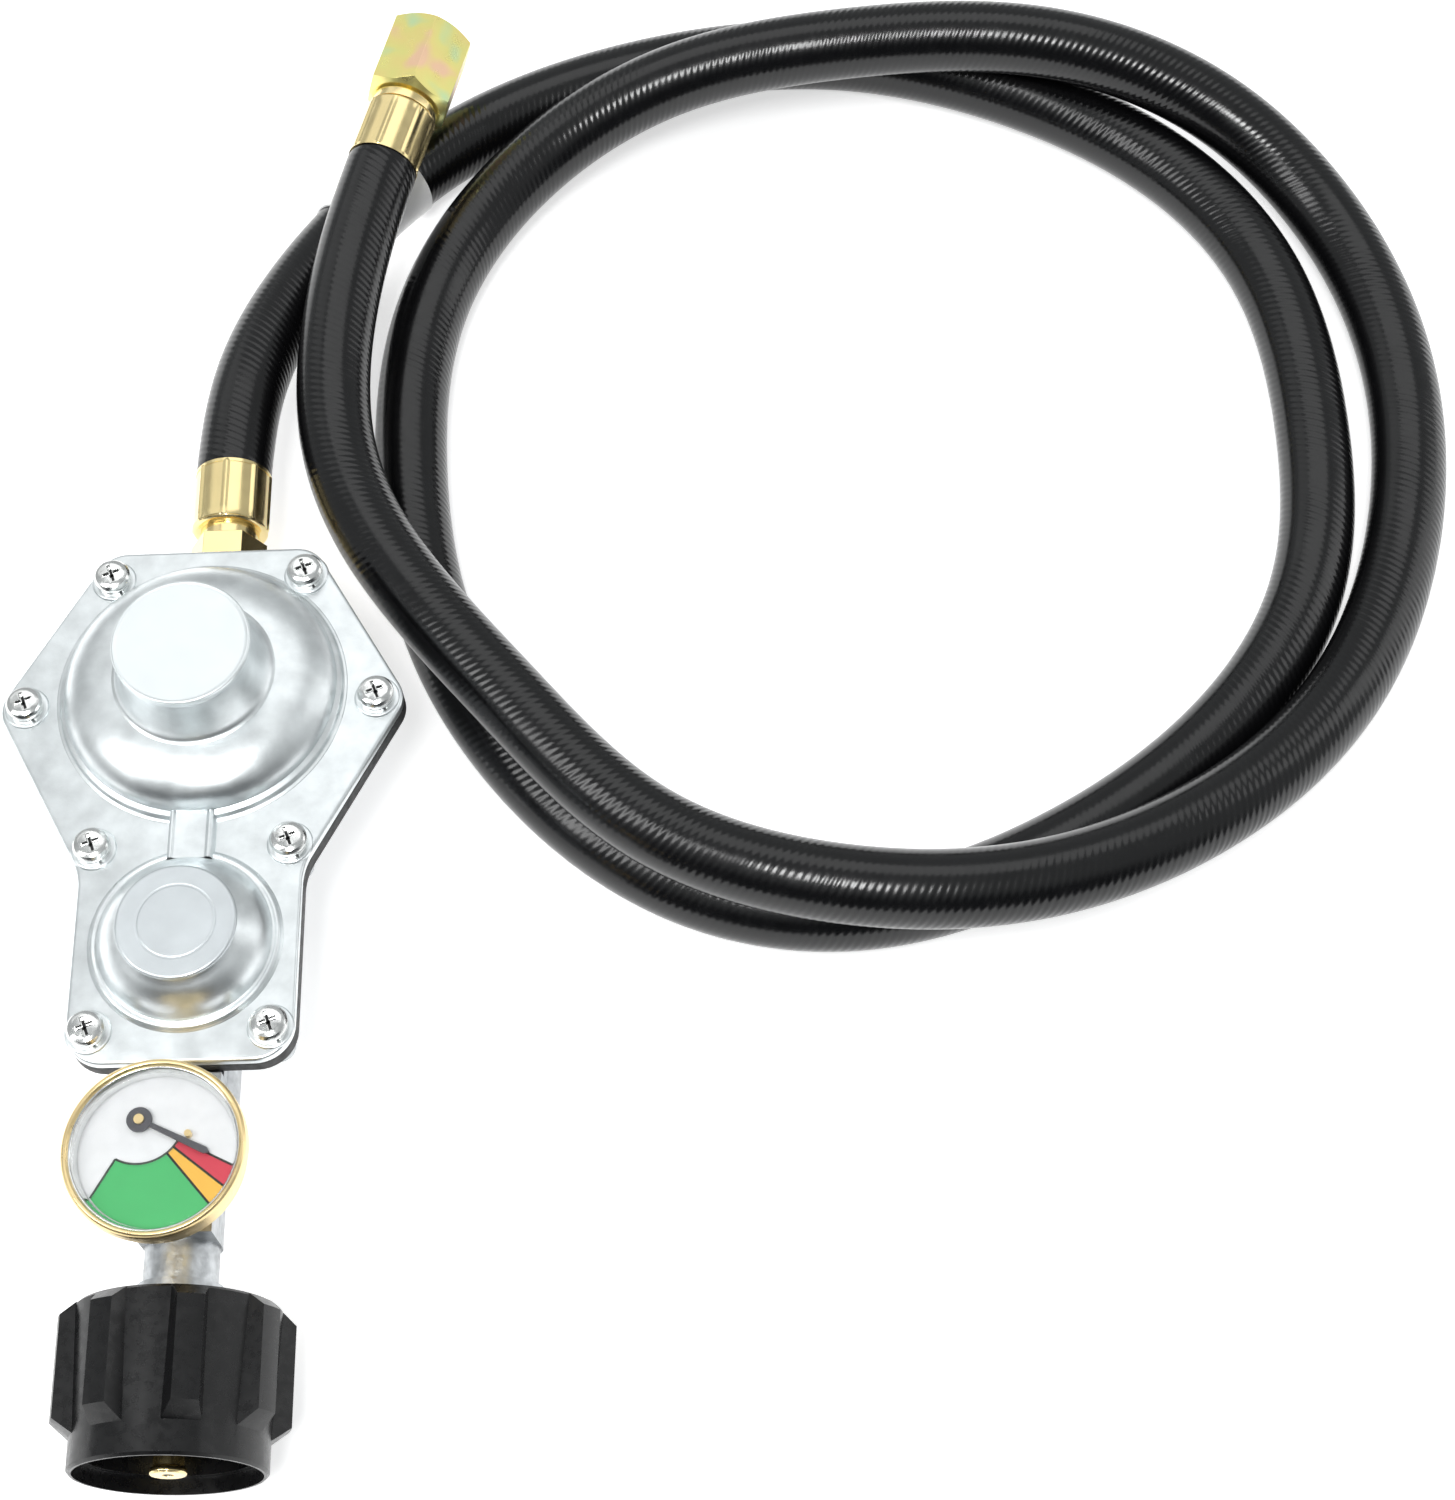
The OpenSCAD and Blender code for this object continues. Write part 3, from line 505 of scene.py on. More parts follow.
def hose_rubber():
    """Satin rubber with the slanted ripple that the wrapping tape leaves on the cover."""
    m = Shader("hose_rubber", (0.0035, 0.0035, 0.004), 0, 0.21)
    m.mottle(m.noise(9, 4), 0.2).rough(m.noise(2.5, 5), 0.04)
    uv = m.add("ShaderNodeUVMap", uv_map="HoseUV").outputs[0]
    split = m.add("ShaderNodeSeparateXYZ")
    m.link(uv, split.inputs[0])
    along, around = split.outputs[0], split.outputs[1]
    starts = 12
    pitch_mm = 1.7
    ridges_per_unit = UV_UNIT / pitch_mm
    along_turns = m.math("MULTIPLY", along, ridges_per_unit)
    turns = m.math("ADD", along_turns, m.math("MULTIPLY", around, starts))
    ridge = m.math("SINE", m.math("MULTIPLY", turns, math.tau))
    fade = m.spread(m.noise(16, 3), 0.12, 1.0)
    m.shader.inputs["Specular IOR Level"].default_value = 0.5
    m.bump(m.math("MULTIPLY", ridge, fade), 0.045, 0.8)
    m.bump(m.noise(0.5, 3), 0.02, 0.4)
    return m.material


def label_film():
    m = Shader("label_film", (0.97, 0.97, 0.97), 0, 0.35)
    m.mottle(m.noise(5, 3), 0.04).rough(m.noise(2, 3), 0.08)
    m.bump(m.noise(3, 3), 0.06, 0.5)
    return m.material


def plated_nut():
    """Yellow zinc plating, with pink and green casts."""
    m = Shader("plated_nut", (0.95, 0.84, 0.36), 0.9, 0.30)
    blotches = m.noise(9, 1.2)
    m.tint(
        blotches,
        [
            (0.32, (0.98, 0.66, 0.44)),
            (0.43, (0.93, 0.79, 0.30)),
            (0.57, (0.88, 0.83, 0.30)),
            (0.70, (0.64, 0.84, 0.48)),
        ],
    )
    m.rough(m.noise(4, 2), 0.04).bump(m.noise(2, 2), 0.002, 0.5)
    return m.material


def screen_mesh():
    m = Shader("screen_mesh", (0.3, 0.3, 0.31), 1, 0.4)
    m.mottle(m.noise(1, 3), 0.2).rough(m.noise(1, 3), 0.1)
    m.bump(m.cells(0.3), 0.05, 0.8)
    return m.material


def dial_face():
    return printed("dial_face", (0.80, 0.81, 0.82))


MATERIALS = {
    make.__name__: make()
    for make in (
        cover_metal,
        cap_plate,
        pressed_cap,
        body_metal,
        screw_steel,
        spring_steel,
        brass_fitting,
        gauge_brass,
        diaphragm_rubber,
        seat_rubber,
        dial_face,
        pointer_grey,
        gauge_glass,
        nut_plastic,
        bushing_plastic,
        hose_rubber,
        label_film,
        plated_nut,
        screen_mesh,
    )
}


# ---- mesh helpers ----
def mesh_piece(name, vertices, faces, slot, body, replaces=(), material=None, smooth_angle=35):
    """A finished piece from millimetre vertices: shaded, coloured and riding on its CAD body."""
    mesh = bpy.data.meshes.new(name)
    mesh.from_pydata([Vector(v) * MM for v in vertices], [], faces)
    piece = bpy.data.objects.new(name, mesh)
    bpy.context.collection.objects.link(piece)
    return finish_piece(piece, slot, body, replaces, material, smooth_angle)


def finish_piece(piece, slot, body, replaces=(), material=None, smooth_angle=35):
    """Outward faces, smooth shading up to smooth_angle degrees, material, body, slot and replaced nodes."""
    mesh = piece.data
    fixed = bmesh.new()
    fixed.from_mesh(mesh)
    bmesh.ops.recalc_face_normals(fixed, faces=fixed.faces)
    fixed.to_mesh(mesh)
    fixed.free()
    mesh.shade_smooth()
    mesh.set_sharp_from_angle(angle=math.radians(smooth_angle))
    mesh.materials.clear()
    mesh.materials.append(material or MATERIALS[slot])
    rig.ride(piece, body)
    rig.slot(piece, slot)
    if replaces:
        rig.replaces(piece, *replaces)
    return piece


def rounded(profile, radius, steps=4):
    """An open profile with its inner corners turned into short curves."""
    points = [Vector(p) for p in profile]
    result = [points[0]]
    for before, at, after in zip(points, points[1:], points[2:]):
        reach = min(radius, (before - at).length / 2, (after - at).length / 2)
        start = at + (before - at).normalized() * reach
        stop = at + (after - at).normalized() * reach
        for k in range(steps + 1):
            t = k / steps
            result.append(start * (1 - t) ** 2 + at * 2 * t * (1 - t) + stop * t * t)
    result.append(points[-1])
    return [tuple(p) for p in result]


def ellipse_arc(center, half_width, height, start, stop, steps):
    """Profile points on an ellipse between two angles in degrees."""
    angles = [math.radians(start + (stop - start) * k / steps) for k in range(steps + 1)]
    return [(center[0] + half_width * math.cos(a), center[1] + height * math.sin(a)) for a in angles]


def lathe(profile, sides=96):
    """Vertices and faces of (radius, height) points turned about +Z; an end at radius 0 closes to a point."""
    vertices, faces, rings = [], [], []
    for radius, height in profile:
        if radius < 1e-6:
            rings.append([len(vertices)] * sides)
            vertices.append((0, 0, height))
            continue
        rings.append(list(range(len(vertices), len(vertices) + sides)))
        for s in range(sides):
            angle = math.tau * s / sides
            vertices.append((radius * math.cos(angle), radius * math.sin(angle), height))
    for low, high in zip(rings, rings[1:]):
        for s in range(sides):
            corners = [low[s], low[(s + 1) % sides], high[(s + 1) % sides], high[s]]
            unique = list(dict.fromkeys(corners))
            if len(unique) > 2:
                faces.append(unique)
    return vertices, faces


def closed_lathe(profile, sides=96):
    """The same for a ring, whose profile comes back to its start."""
    vertices, faces = lathe(profile, sides)
    count = len(profile)
    last = (count - 1) * sides
    for s in range(sides):
        t = (s + 1) % sides
        faces.append([last + s, last + t, t, s])
    return vertices, faces


def moved(shape, place, turn=None):
    """A shape turned about the origin and then put at place."""
    vertices, faces = shape
    turn = turn or Matrix.Identity(3)
    return [turn @ Vector(v) + Vector(place) for v in vertices], faces


def joined(*shapes):
    """Several shapes as the vertices and faces of one mesh."""
    vertices, faces = [], []
    for some_vertices, some_faces in shapes:
        base = len(vertices)
        vertices += [tuple(v) for v in some_vertices]
        faces += [[base + i for i in f] for f in some_faces]
    return vertices, faces


ALONG_Y = Matrix.Rotation(math.radians(-90), 3, "X")


def stacked(loops):
    """Vertices and faces of a solid from loops of equal length, bottom first."""
    count = len(loops[0])
    vertices = [tuple(p) for loop in loops for p in loop]
    faces = []
    for k in range(len(loops) - 1):
        for i in range(count):
            j = (i + 1) % count
            faces.append([k * count + i, k * count + j, (k + 1) * count + j, (k + 1) * count + i])
    top = (len(loops) - 1) * count
    faces.append([top + i for i in range(count)])
    faces.append([i for i in reversed(range(count))])
    return vertices, faces


def inset(outline, distance):
    """A closed outline moved inwards by distance along its corners' normals."""
    result = []
    count = len(outline)
    for i in range(count):
        before, at, after = (Vector(outline[(i + k) % count][:2]) for k in (-1, 0, 1))
        along = ((at - before).normalized() + (after - at).normalized()).normalized()
        result.append((at.x - along.y * distance, at.y + along.x * distance))
    return result


def softened(node, slot, body, width, segments=2, smooth_angle=35):
    """The CAD node's own shape with its sharp edges rounded by width millimetres, in its place."""
    same_place = 2e-6
    flat_angle = math.radians(1.2)
    sharp_angle = math.radians(28)
    piece = bpy.data.objects.new(node + "_shape", nodes[node].data.copy())
    bpy.context.collection.objects.link(piece)
    shape = bmesh.new()
    shape.from_mesh(piece.data)
    bmesh.ops.remove_doubles(shape, verts=shape.verts, dist=same_place)
    bmesh.ops.dissolve_limit(
        shape, angle_limit=flat_angle, verts=shape.verts, edges=shape.edges, delimit=set()
    )
    sharp = [e for e in shape.edges if len(e.link_faces) == 2 and e.calc_face_angle(0) > sharp_angle]
    bmesh.ops.bevel(
        shape,
        geom=sharp,
        offset=width * MM,
        segments=segments,
        profile=0.6,
        affect="EDGES",
        clamp_overlap=True,
    )
    shape.to_mesh(piece.data)
    shape.free()
    finish_piece(piece, slot, body, [node], smooth_angle=smooth_angle)
    normals = piece.modifiers.new("even_normals", "WEIGHTED_NORMAL")
    normals.keep_sharp = True
    return piece


# ---- hose ----
ROUTE = [
    (0, 113, 23.5), (1, 145, 23), (19, 190, 11), (50, 223, 8.5), (95, 240, 8.5), (143, 244, 9),
    (188, 229, 8.5), (225, 204, 8.5), (247, 169, 9), (251, 124, 8.5), (247, 81, 8.5), (222, 45, 8.5),
    (185, 19, 8.5), (142, 3, 8.5), (99, 11, 8.5), (65, 41, 8.5), (43, 80, 8.5), (37, 125, 8.5),
    (39, 169, 8.5), (61, 206, 11), (99, 228, 21), (144, 232, 25), (192, 230, 29), (235, 217, 18.5),
    (263, 185, 8.5), (274, 142, 9), (270, 98, 8.5), (253, 56, 11.5), (222, 24, 18.5), (180, 4, 23.5),
    (135, 3, 27.5), (92, 18, 25.5), (64, 53, 26.5), (35, 87, 27), (20, 123, 24.5), (24, 167, 29.2),
    (36, 209, 29.2),
]  # fmt: skip


def on_route(t):
    """The smooth curve that the route's points steer, at t spans from its start."""
    points = [Vector(p) for p in ROUTE]
    steered = [points[0] * 2 - points[1], *points, points[-1] * 2 - points[-2]]
    i = min(int(t), len(points) - 2)
    u = t - i
    a, b, c, d = steered[i : i + 4]
    near = a * (1 - u) ** 3 + b * (3 * u**3 - 6 * u * u + 4)
    far = c * (1 + 3 * u + 3 * u * u - 3 * u**3) + d * u**3
    return (near + far) / 6


def tube(points, radii, sides, closed_ends=True):
    """A round tube along points, twisted as little as it can be, and the length up to each point."""
    vertices, faces, lengths = [], [], []
    across = Vector((1, 0, 0))
    walked = 0.0
    for k, point in enumerate(points):
        ahead = (points[min(k + 1, len(points) - 1)] - points[max(k - 1, 0)]).normalized()
        across = (across - ahead * across.dot(ahead)).normalized()
        up = ahead.cross(across)
        walked += (point - points[max(k - 1, 0)]).length
        lengths.append(walked)
        for s in range(sides):
            angle = math.tau * s / sides
            vertices.append(point + (across * math.cos(angle) + up * math.sin(angle)) * radii[k])
    for k in range(len(points) - 1):
        for s in range(sides):
            t = (s + 1) % sides
            faces.append([k * sides + s, k * sides + t, (k + 1) * sides + t, (k + 1) * sides + s])
    if closed_ends:
        faces.append([s for s in reversed(range(sides))])
        faces.append([(len(points) - 1) * sides + s for s in range(sides)])
    return (vertices, faces), lengths


def crimped_radius(outside):
    """The hose's radius at a distance outside its ferrule; a negative distance is inside the crimp."""
    squeeze = 0.6
    ease = 1.2
    full_from = 0.1
    return HOSE_R - squeeze * min(max((full_from - outside) / ease, 0), 1)


def make_hose():
    """The hose from inside the outlet ferrule to its end in the far one, with a UV map for its ripple."""
    sides = 48
    rings_per_span = 20
    spans = len(ROUTE) - 1
    hose_start = FERRULE_START + 3
    hidden_step = 2.4
    line = [on_route(k / rings_per_span) for k in range(spans * rings_per_span + 1)]
    hidden = [Vector((0, hose_start + k * hidden_step, AXIS_Z)) for k in range(5)]
    walked = [0.0]
    for a, b in zip(hidden + line, (hidden + line)[1:]):
        walked.append(walked[-1] + (b - a).length)
    in_outlet = FERRULE_END - hose_start
    radii = [crimped_radius(min(w - in_outlet, walked[-1] - w - FAR_GRIP)) for w in walked]
    shape, lengths = tube(hidden + line, radii, sides)
    hose = mesh_piece("hose_tube", *shape, "hose_rubber", "regulator", ["hose"], smooth_angle=60)
    uv = hose.data.uv_layers.new(name="HoseUV")
    for face in hose.data.polygons:
        wraps = max(hose.data.loops[i].vertex_index % sides for i in face.loop_indices) == sides - 1
        for i in face.loop_indices:
            ring, side = divmod(hose.data.loops[i].vertex_index, sides)
            around = 1.0 if wraps and side == 0 else side / sides
            uv.data[i].uv = (lengths[ring] / UV_UNIT, around)
    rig.cord(
        hose,
        exit=(0, FERRULE_END * MM, AXIS_Z * MM),
        length=1.578,
        diameter=2 * HOSE_R * MM,
        far_end="fitting",
        stiffness="stiff",
        lay="loose",
        path=[p * MM for p in hidden + line],
        with_pieces=END_PIECES,
    )


def far_frame():
    """Place of the far ferrule's mouth and the turn that lays +Z along the hose's last stretch."""
    ahead = (Vector(ROUTE[-1]) - Vector(ROUTE[-2])).normalized()
    mouth = Vector(ROUTE[-1]) - ahead * FAR_GRIP
    heading = math.atan2(ahead.y, ahead.x) - math.pi / 2
    return mouth, Matrix.Rotation(heading, 3, "Z") @ ALONG_Y


def crimped(length, start):
    """A ferrule crimped by eight jaws from start to its mouth: shallow flats with narrow ridges between."""
    sides = 144
    jaw = math.tau / 8
    bore = 4.9
    outer = 8.8
    lip = length - 0.8
    depth = 0.42
    ridge_width = math.radians(4.2)
    back = [(bore, 0), (outer - 0.9, 0), (outer, 0.9)]
    front = [(outer, length - 0.5), (outer - 0.35, length), (HOSE_R, length)]
    profile = rounded(back + front, 0.5)
    stop = length - 1
    rings = 14
    body = [p for p in profile if p[1] < start]
    body += [(outer, start + (stop - start) * k / rings) for k in range(rings + 1)]
    body += [p for p in profile if p[1] > stop]
    body += [(HOSE_R, lip), (bore, lip)]
    vertices, faces = closed_lathe(body, sides)
    pressed = []
    for x, y, z in vertices:
        radius = math.hypot(x, y)
        angle = math.atan2(y, x)
        off = (angle + jaw / 2) % jaw - jaw / 2
        ridge = math.exp(-((off / ridge_width) ** 2))
        ease = min(max((z - start + 1) / 1.6, 0), 1)
        smooth = ease * ease * (3 - 2 * ease)
        push = depth * smooth * (1 - ridge) if radius > HOSE_R + 0.02 else 0
        scale = (radius - push) / radius
        pressed.append((x * scale, y * scale, z))
    return pressed, faces


END_PIECES = []


def make_hose_ends():
    """Both ferrules, the fittings in them and the flare nut; END_PIECES keeps what goes with the hose."""
    crimp_start = 0.9
    outlet = crimped(FERRULE_END - FERRULE_START, crimp_start)
    mesh_piece(
        "outlet_ferrule_crimped",
        *moved(outlet, (0, FERRULE_START, AXIS_Z), ALONG_Y),
        "brass_fitting",
        "regulator",
        ["outlet_ferrule"],
    )
    mouth, turn = far_frame()
    flipped = turn @ Matrix.Rotation(math.pi, 3, "X")
    length = 15.5
    ahead = turn @ Vector((0, 0, 1))
    far = mesh_piece(
        "far_ferrule_crimped",
        *moved(crimped(length, crimp_start), mouth + ahead * length, flipped),
        "brass_fitting",
        "regulator",
        ["far_ferrule"],
    )
    insert = softened("flare_insert", "brass_fitting", "regulator", 0.25)
    nut = softened("flare_nut", "plated_nut", "flare_nut", 0.3, 1, smooth_angle=20)
    END_PIECES.extend([far, insert, nut, make_label()])
    softened("outlet_fitting", "brass_fitting", "regulator", 0.3)


def make_label():
    """A sleeve round the hose's first run, half a span of the route long."""
    sides = 64
    steps = 12
    first_span = 2.0
    spans = 0.5
    line = [on_route(first_span + spans * k / steps) for k in range(steps + 1)]
    (outer, faces), _ = tube(line, [HOSE_R + 0.5] * len(line), sides, False)
    (inner, inner_faces), _ = tube(line, [HOSE_R + 0.1] * len(line), sides, False)
    vertices, faces = joined((outer, faces), (inner, [f[::-1] for f in inner_faces]))
    half = len(outer)
    for ring in (0, steps):
        for s in range(sides):
            a, b = ring * sides + s, ring * sides + (s + 1) % sides
            faces.append([a, b, b + half, a + half])
    return mesh_piece("label_sleeve", vertices, faces, "label_film", "regulator", ["hose_label"])


# ---- cover ----
TOWER_H = 21
BOWL_H = 9.0
HALF_CORNERS = [(23.3, -34.5, 8), (23.3, 7.7, 14), (44, 46.5, 7), (22.5, 84, 7)]


def cover_outline():
    """The plate's outline: straight sides between rounded corners, mirrored about the ports' axis."""
    corners = HALF_CORNERS + [(-x, y, r) for x, y, r in reversed(HALF_CORNERS)]
    points = []
    count = len(corners)
    steps = 12
    for i, (x, y, radius) in enumerate(corners):
        at = Vector((x, y))
        u = (Vector(corners[i - 1][:2]) - at).normalized()
        v = (Vector(corners[(i + 1) % count][:2]) - at).normalized()
        half = u.angle(v) / 2
        center = at + (u + v).normalized() * radius / math.sin(half)
        first = at + u * radius / math.tan(half) - center
        last = at + v * radius / math.tan(half) - center
        sweep = first.angle_signed(last)
        for k in range(steps + 1):
            points.append(center + Matrix.Rotation(-sweep * k / steps, 2) @ first)
    return [(p.x, p.y) for p in points]


def at_height(outline, z):
    """Flat points lifted to z."""
    return [(x, y, z) for x, y in outline]


def plate_shape():
    """The cover's plate; its edge is (inset, depth under the top) points, bottom first."""
    outline = cover_outline()
    thickness = PLATE_TOP - PLATE_BOTTOM
    edge = [(0.3, thickness), (0, thickness - 0.3), (0, 0.7), (0.12, 0.3), (0.4, 0.07), (0.8, 0)]
    return stacked([at_height(inset(outline, d), PLATE_TOP - deep) for d, deep in edge])


def big_dome():
    """The second stage's dome, its step, and the flared tower under the cap."""
    foot = rounded([(31.3, -0.3), (31.1, 0.1), (30.3, 0.25), (30.1, 1.2), (29.3, 1.55), (28.9, 1.75)], 0.3)
    shoulder = ellipse_arc((15.9, 1.5), 13.3, 8.2, 6, 84, 20)
    ring = rounded([(17.3, 9.75), (16.6, 10.05), (16.0, 10.9), (15.6, 11.8)], 0.5)
    steps = 10
    top_r, flare, flare_power = 13.75, 1.85, 1.8
    wall_z, wall_h = 11.8, TOWER_H - 11.8
    wall = [
        (top_r + flare * (1 - k / steps) ** flare_power, wall_z + wall_h * k / steps)
        for k in range(1, steps + 1)
    ]
    return moved(lathe(foot + shoulder + ring + wall + [(12, TOWER_H)], 144), (0, BIG_Y, PLATE_TOP))


def small_dome():
    """The first stage's dome: a stepped foot and a round bowl."""
    step = [(20.3, -0.3), (20.2, 0.1), (19.8, 0.35), (19.6, 0.9), (19.0, 1.15), (18.5, 0.95), (18.1, 1.1)]
    lower = [(18.1, 1.1), (17.7, 2.0), (17.1, 3.3), (16.3, 4.6)]
    upper = [(15.2, 5.9), (14.0, 7.0), (12.9, 7.8), (12.1, 8.5)]
    neck = [(11.8, BOWL_H), (10, BOWL_H)]
    profile = rounded(step, 0.35) + rounded(lower + upper, 1.5, 3)[1:] + neck
    return moved(lathe(profile, 144), (0, SMALL_Y, PLATE_TOP))


def rib_shape():
    """The raised bridge between the domes, with a sunk panel between two lips."""
    half = [(5.2, -0.3), (4.9, 0.1), (4.6, 2.1), (4.2, 2.6), (3.7, 2.6), (3.3, 2.2), (0, 2.2)]
    section = half + [(-x, z) for x, z in reversed(half[:-1])]
    section = rounded(section, 0.25, 3)
    front, back = SMALL_Y + 17.5, BIG_Y - 28.5
    loops = [[(x, y, PLATE_TOP + z) for x, z in section] for y in (front, front + 4, back - 4, back)]
    vertices = [p for loop in loops for p in loop]
    count = len(section)
    faces = [
        [k * count + i, k * count + i + 1, (k + 1) * count + i + 1, (k + 1) * count + i]
        for k in range(len(loops) - 1)
        for i in range(count - 1)
    ]
    return vertices, faces


def pad_shape(x, y):
    """The low round pad under a screw."""
    profile = rounded([(4.95, -0.2), (4.7, 0.3), (4.4, 0.42), (2.3, 0.42)], 0.2)
    return moved(lathe(profile, 48), (x, y, PLATE_TOP))


def all_spots():
    """The places of the eight screws."""
    return [(side * x, y) for side in (1, -1) for x, y in SCREW_SPOTS]


def make_cover():
    pads = [pad_shape(x, y) for x, y in all_spots()]
    shape = joined(plate_shape(), big_dome(), small_dome(), rib_shape(), *pads)
    mesh_piece("cover_casting", *shape, "cover_metal", "regulator", ["cover"], smooth_angle=40)


def make_caps():
    """The plain cap on the tower and the pressed disc on the small dome."""
    rim = [(13.6, -0.2), (14.3, 0.1), (14.5, 0.5), (14.5, 1.5), (14.35, 2.0), (14.0, 2.12), (13.75, 2.02)]
    cap = rounded(rim + [(13.4, 1.96), (0, 1.96)], 0.3)
    mesh_piece(
        "tower_cap",
        *moved(lathe([(0, -0.2)] + cap, 128), (0, BIG_Y, PLATE_TOP + TOWER_H)),
        "cap_plate",
        "regulator",
        ["second_stage_cap"],
    )
    disc = [(0, -0.1), (11.6, -0.1), (12.2, 0.05), (12.5, 0.4), (12.45, 0.9), (12.0, 1.2), (11.2, 1.15)]
    groove = [(8.35, 1.15), (8.1, 1.08), (7.85, 1.08), (7.6, 1.17), (0, 1.17)]
    mesh_piece(
        "pressed_disc",
        *moved(lathe(rounded(disc + groove, 0.3), 128), (0, SMALL_Y, PLATE_TOP + BOWL_H)),
        "pressed_cap",
        "regulator",
        ["first_stage_cap"],
    )


# ---- gauge ----
def flat_patch(outline, z, thickness):
    """A thin printed patch that stands on the dial."""
    return stacked([at_height(outline, z), at_height(outline, z + thickness)])


def at_pivot(radius, degrees):
    """The flat point at radius and degrees from the pointer's pivot."""
    angle = math.radians(degrees)
    return Vector((PIVOT[0] + radius * math.cos(angle), PIVOT[1] + radius * math.sin(angle)))


def reach_to_rim(degrees, rim):
    """Distance from the pivot to the rim of the printed field, a circle about the gauge's middle."""
    heading = Vector((math.cos(math.radians(degrees)), math.sin(math.radians(degrees))))
    offset = Vector(PIVOT) - Vector((0, GAUGE_Y))
    b = offset.dot(heading)
    return -b + math.sqrt(b * b - offset.length_squared + rim * rim)


def sector_outline(start, stop, inner, rim):
    """A field between two angles about the pivot, from the inner radius out to the rim."""
    steps = max(3, int(abs(stop - start) / 3))
    angles = [start + (stop - start) * k / steps for k in range(steps + 1)]
    near = [at_pivot(inner, a) for a in angles]
    far = [at_pivot(reach_to_rim(a, rim), a) for a in reversed(angles)]
    return [(p.x, p.y) for p in near + far]


def ink_line(start, stop, width):
    """A straight line's outline."""
    side = (stop - start).normalized().orthogonal() * width / 2
    return [(p.x, p.y) for p in (start - side, stop - side, stop + side, start + side)]


def make_dial():
    """The white disc, its three coloured fields and the dark lines round them."""
    print_z = DIAL_Z + 0.01
    film = 0.03
    inner = 8.7
    rim = 15.1
    line_width = 0.45
    base = rounded([(0, -0.4), (16.2, -0.4), (16.2, 0), (0, 0)], 0.05, 2)
    disc = moved(lathe(base, 96), (0, GAUGE_Y, DIAL_Z))
    mesh_piece("dial_disc", *disc, "dial_face", "regulator", ["gauge_dial"])
    bounds = (-27, -38.5, -49.6, -119.4)
    fields = [
        ("dial_red", (0.62, 0.05, 0.08)),
        ("dial_yellow", (0.86, 0.48, 0.07)),
        ("dial_green", (0.07, 0.47, 0.15)),
    ]
    ink = printed("dial_ink", (0.015, 0.02, 0.015))
    lines = []
    for (name, color), start, stop in zip(fields, bounds, bounds[1:]):
        outline = sector_outline(start, stop, inner, rim)
        shape = flat_patch(outline, print_z, film)
        mesh_piece(name, *shape, "dial_face", "regulator", material=printed(name, color))
    for angle in bounds:
        rim_point = at_pivot(reach_to_rim(angle, rim), angle)
        edge = ink_line(at_pivot(inner, angle), rim_point, line_width)
        lines.append(flat_patch(edge, print_z + film, film))
    steps = 30
    arc = [bounds[0] + (bounds[-1] - bounds[0]) * k / steps for k in range(steps + 1)]
    near = [at_pivot(inner - line_width / 2, a) for a in arc]
    far = [at_pivot(inner + line_width / 2, a) for a in reversed(arc)]
    lines.append(flat_patch([(p.x, p.y) for p in near + far], print_z + film, film))
    mesh_piece("dial_lines", *joined(*lines), "dial_face", "regulator", material=ink)


def make_gauge():
    """Bezel, inner ring and window, and the CAD's own case, pointer and socket with softened edges."""
    outer = [(17.1, -4), (17.7, -4), (18, -3.6), (18, -1.1), (17.85, -0.4), (17.4, 0), (17.0, -0.02)]
    lip = [(16.75, -0.2), (16.6, -0.5), (16.45, -1.0), (17.1, -1.0)]
    bezel = rounded(outer + lip, 0.3, 4)
    mesh_piece(
        "gauge_bezel_ring",
        *moved(closed_lathe(bezel, 144), (0, GAUGE_Y, GAUGE_TOP)),
        "gauge_brass",
        "regulator",
        ["gauge_bezel"],
    )
    wall = [(16.9, -1.05), (16.5, -0.75), (16.1, -0.9), (15.6, -2.2), (15.3, -3.85), (16.9, -3.85)]
    mesh_piece(
        "gauge_inner_ring",
        *moved(closed_lathe(rounded(wall, 0.2, 3), 144), (0, GAUGE_Y, GAUGE_TOP)),
        "screw_steel",
        "regulator",
    )
    lens = rounded([(0, 0), (15.5, 0), (15.65, 0.15), (15.65, 0.6), (15.5, 0.75), (0, 0.8)], 0.1, 2)
    lens_depth = 2.2
    mesh_piece(
        "gauge_window",
        *moved(lathe(lens, 96), (0, GAUGE_Y, GAUGE_TOP - lens_depth)),
        "gauge_glass",
        "regulator",
        ["gauge_lens"],
    )
    softened("gauge_case", "gauge_brass", "regulator", 0.3)
    softened("gauge_pointer", "pointer_grey", "gauge_pointer", 0.06)
    softened("gauge_socket", "gauge_brass", "regulator", 0.25)
    make_dial()


# ---- everything else keeps the CAD shape with softened edges ----
SOFT_EDGES = {
    "lower_body": ("body_metal", 0.5),
    "diaphragm_gasket": ("diaphragm_rubber", 0.35),
    "cover_screws": ("screw_steel", 0.14),
    "lock_washers": ("screw_steel", 0.12),
    "inlet_nipple": ("brass_fitting", 0.25),
}


def make_recess_painted_shade():
    """Painted shade: thin dark bars at the bottoms of the screw heads' cross recesses, where the screws' own steel
    lies only in shade.
    """
    reach, half_width, thickness = 1.75, 0.3, 0.15
    floor_z = PLATE_TOP + 2.45
    corners = [(-reach, -half_width), (reach, -half_width), (reach, half_width), (-reach, half_width)]
    arm = stacked([at_height(corners, 0), at_height(corners, thickness)])
    arms = []
    for x, y in all_spots():
        for degrees in (20, 110):
            turn = Matrix.Rotation(math.radians(degrees), 3, "Z")
            arms.append(moved(arm, (x, y, floor_z), turn))
    # the bars borrow the diaphragm's black rubber as painted shade; they are not a rubber part
    mesh_piece("screw_recess_painted_shade", *joined(*arms), "diaphragm_rubber", "regulator")


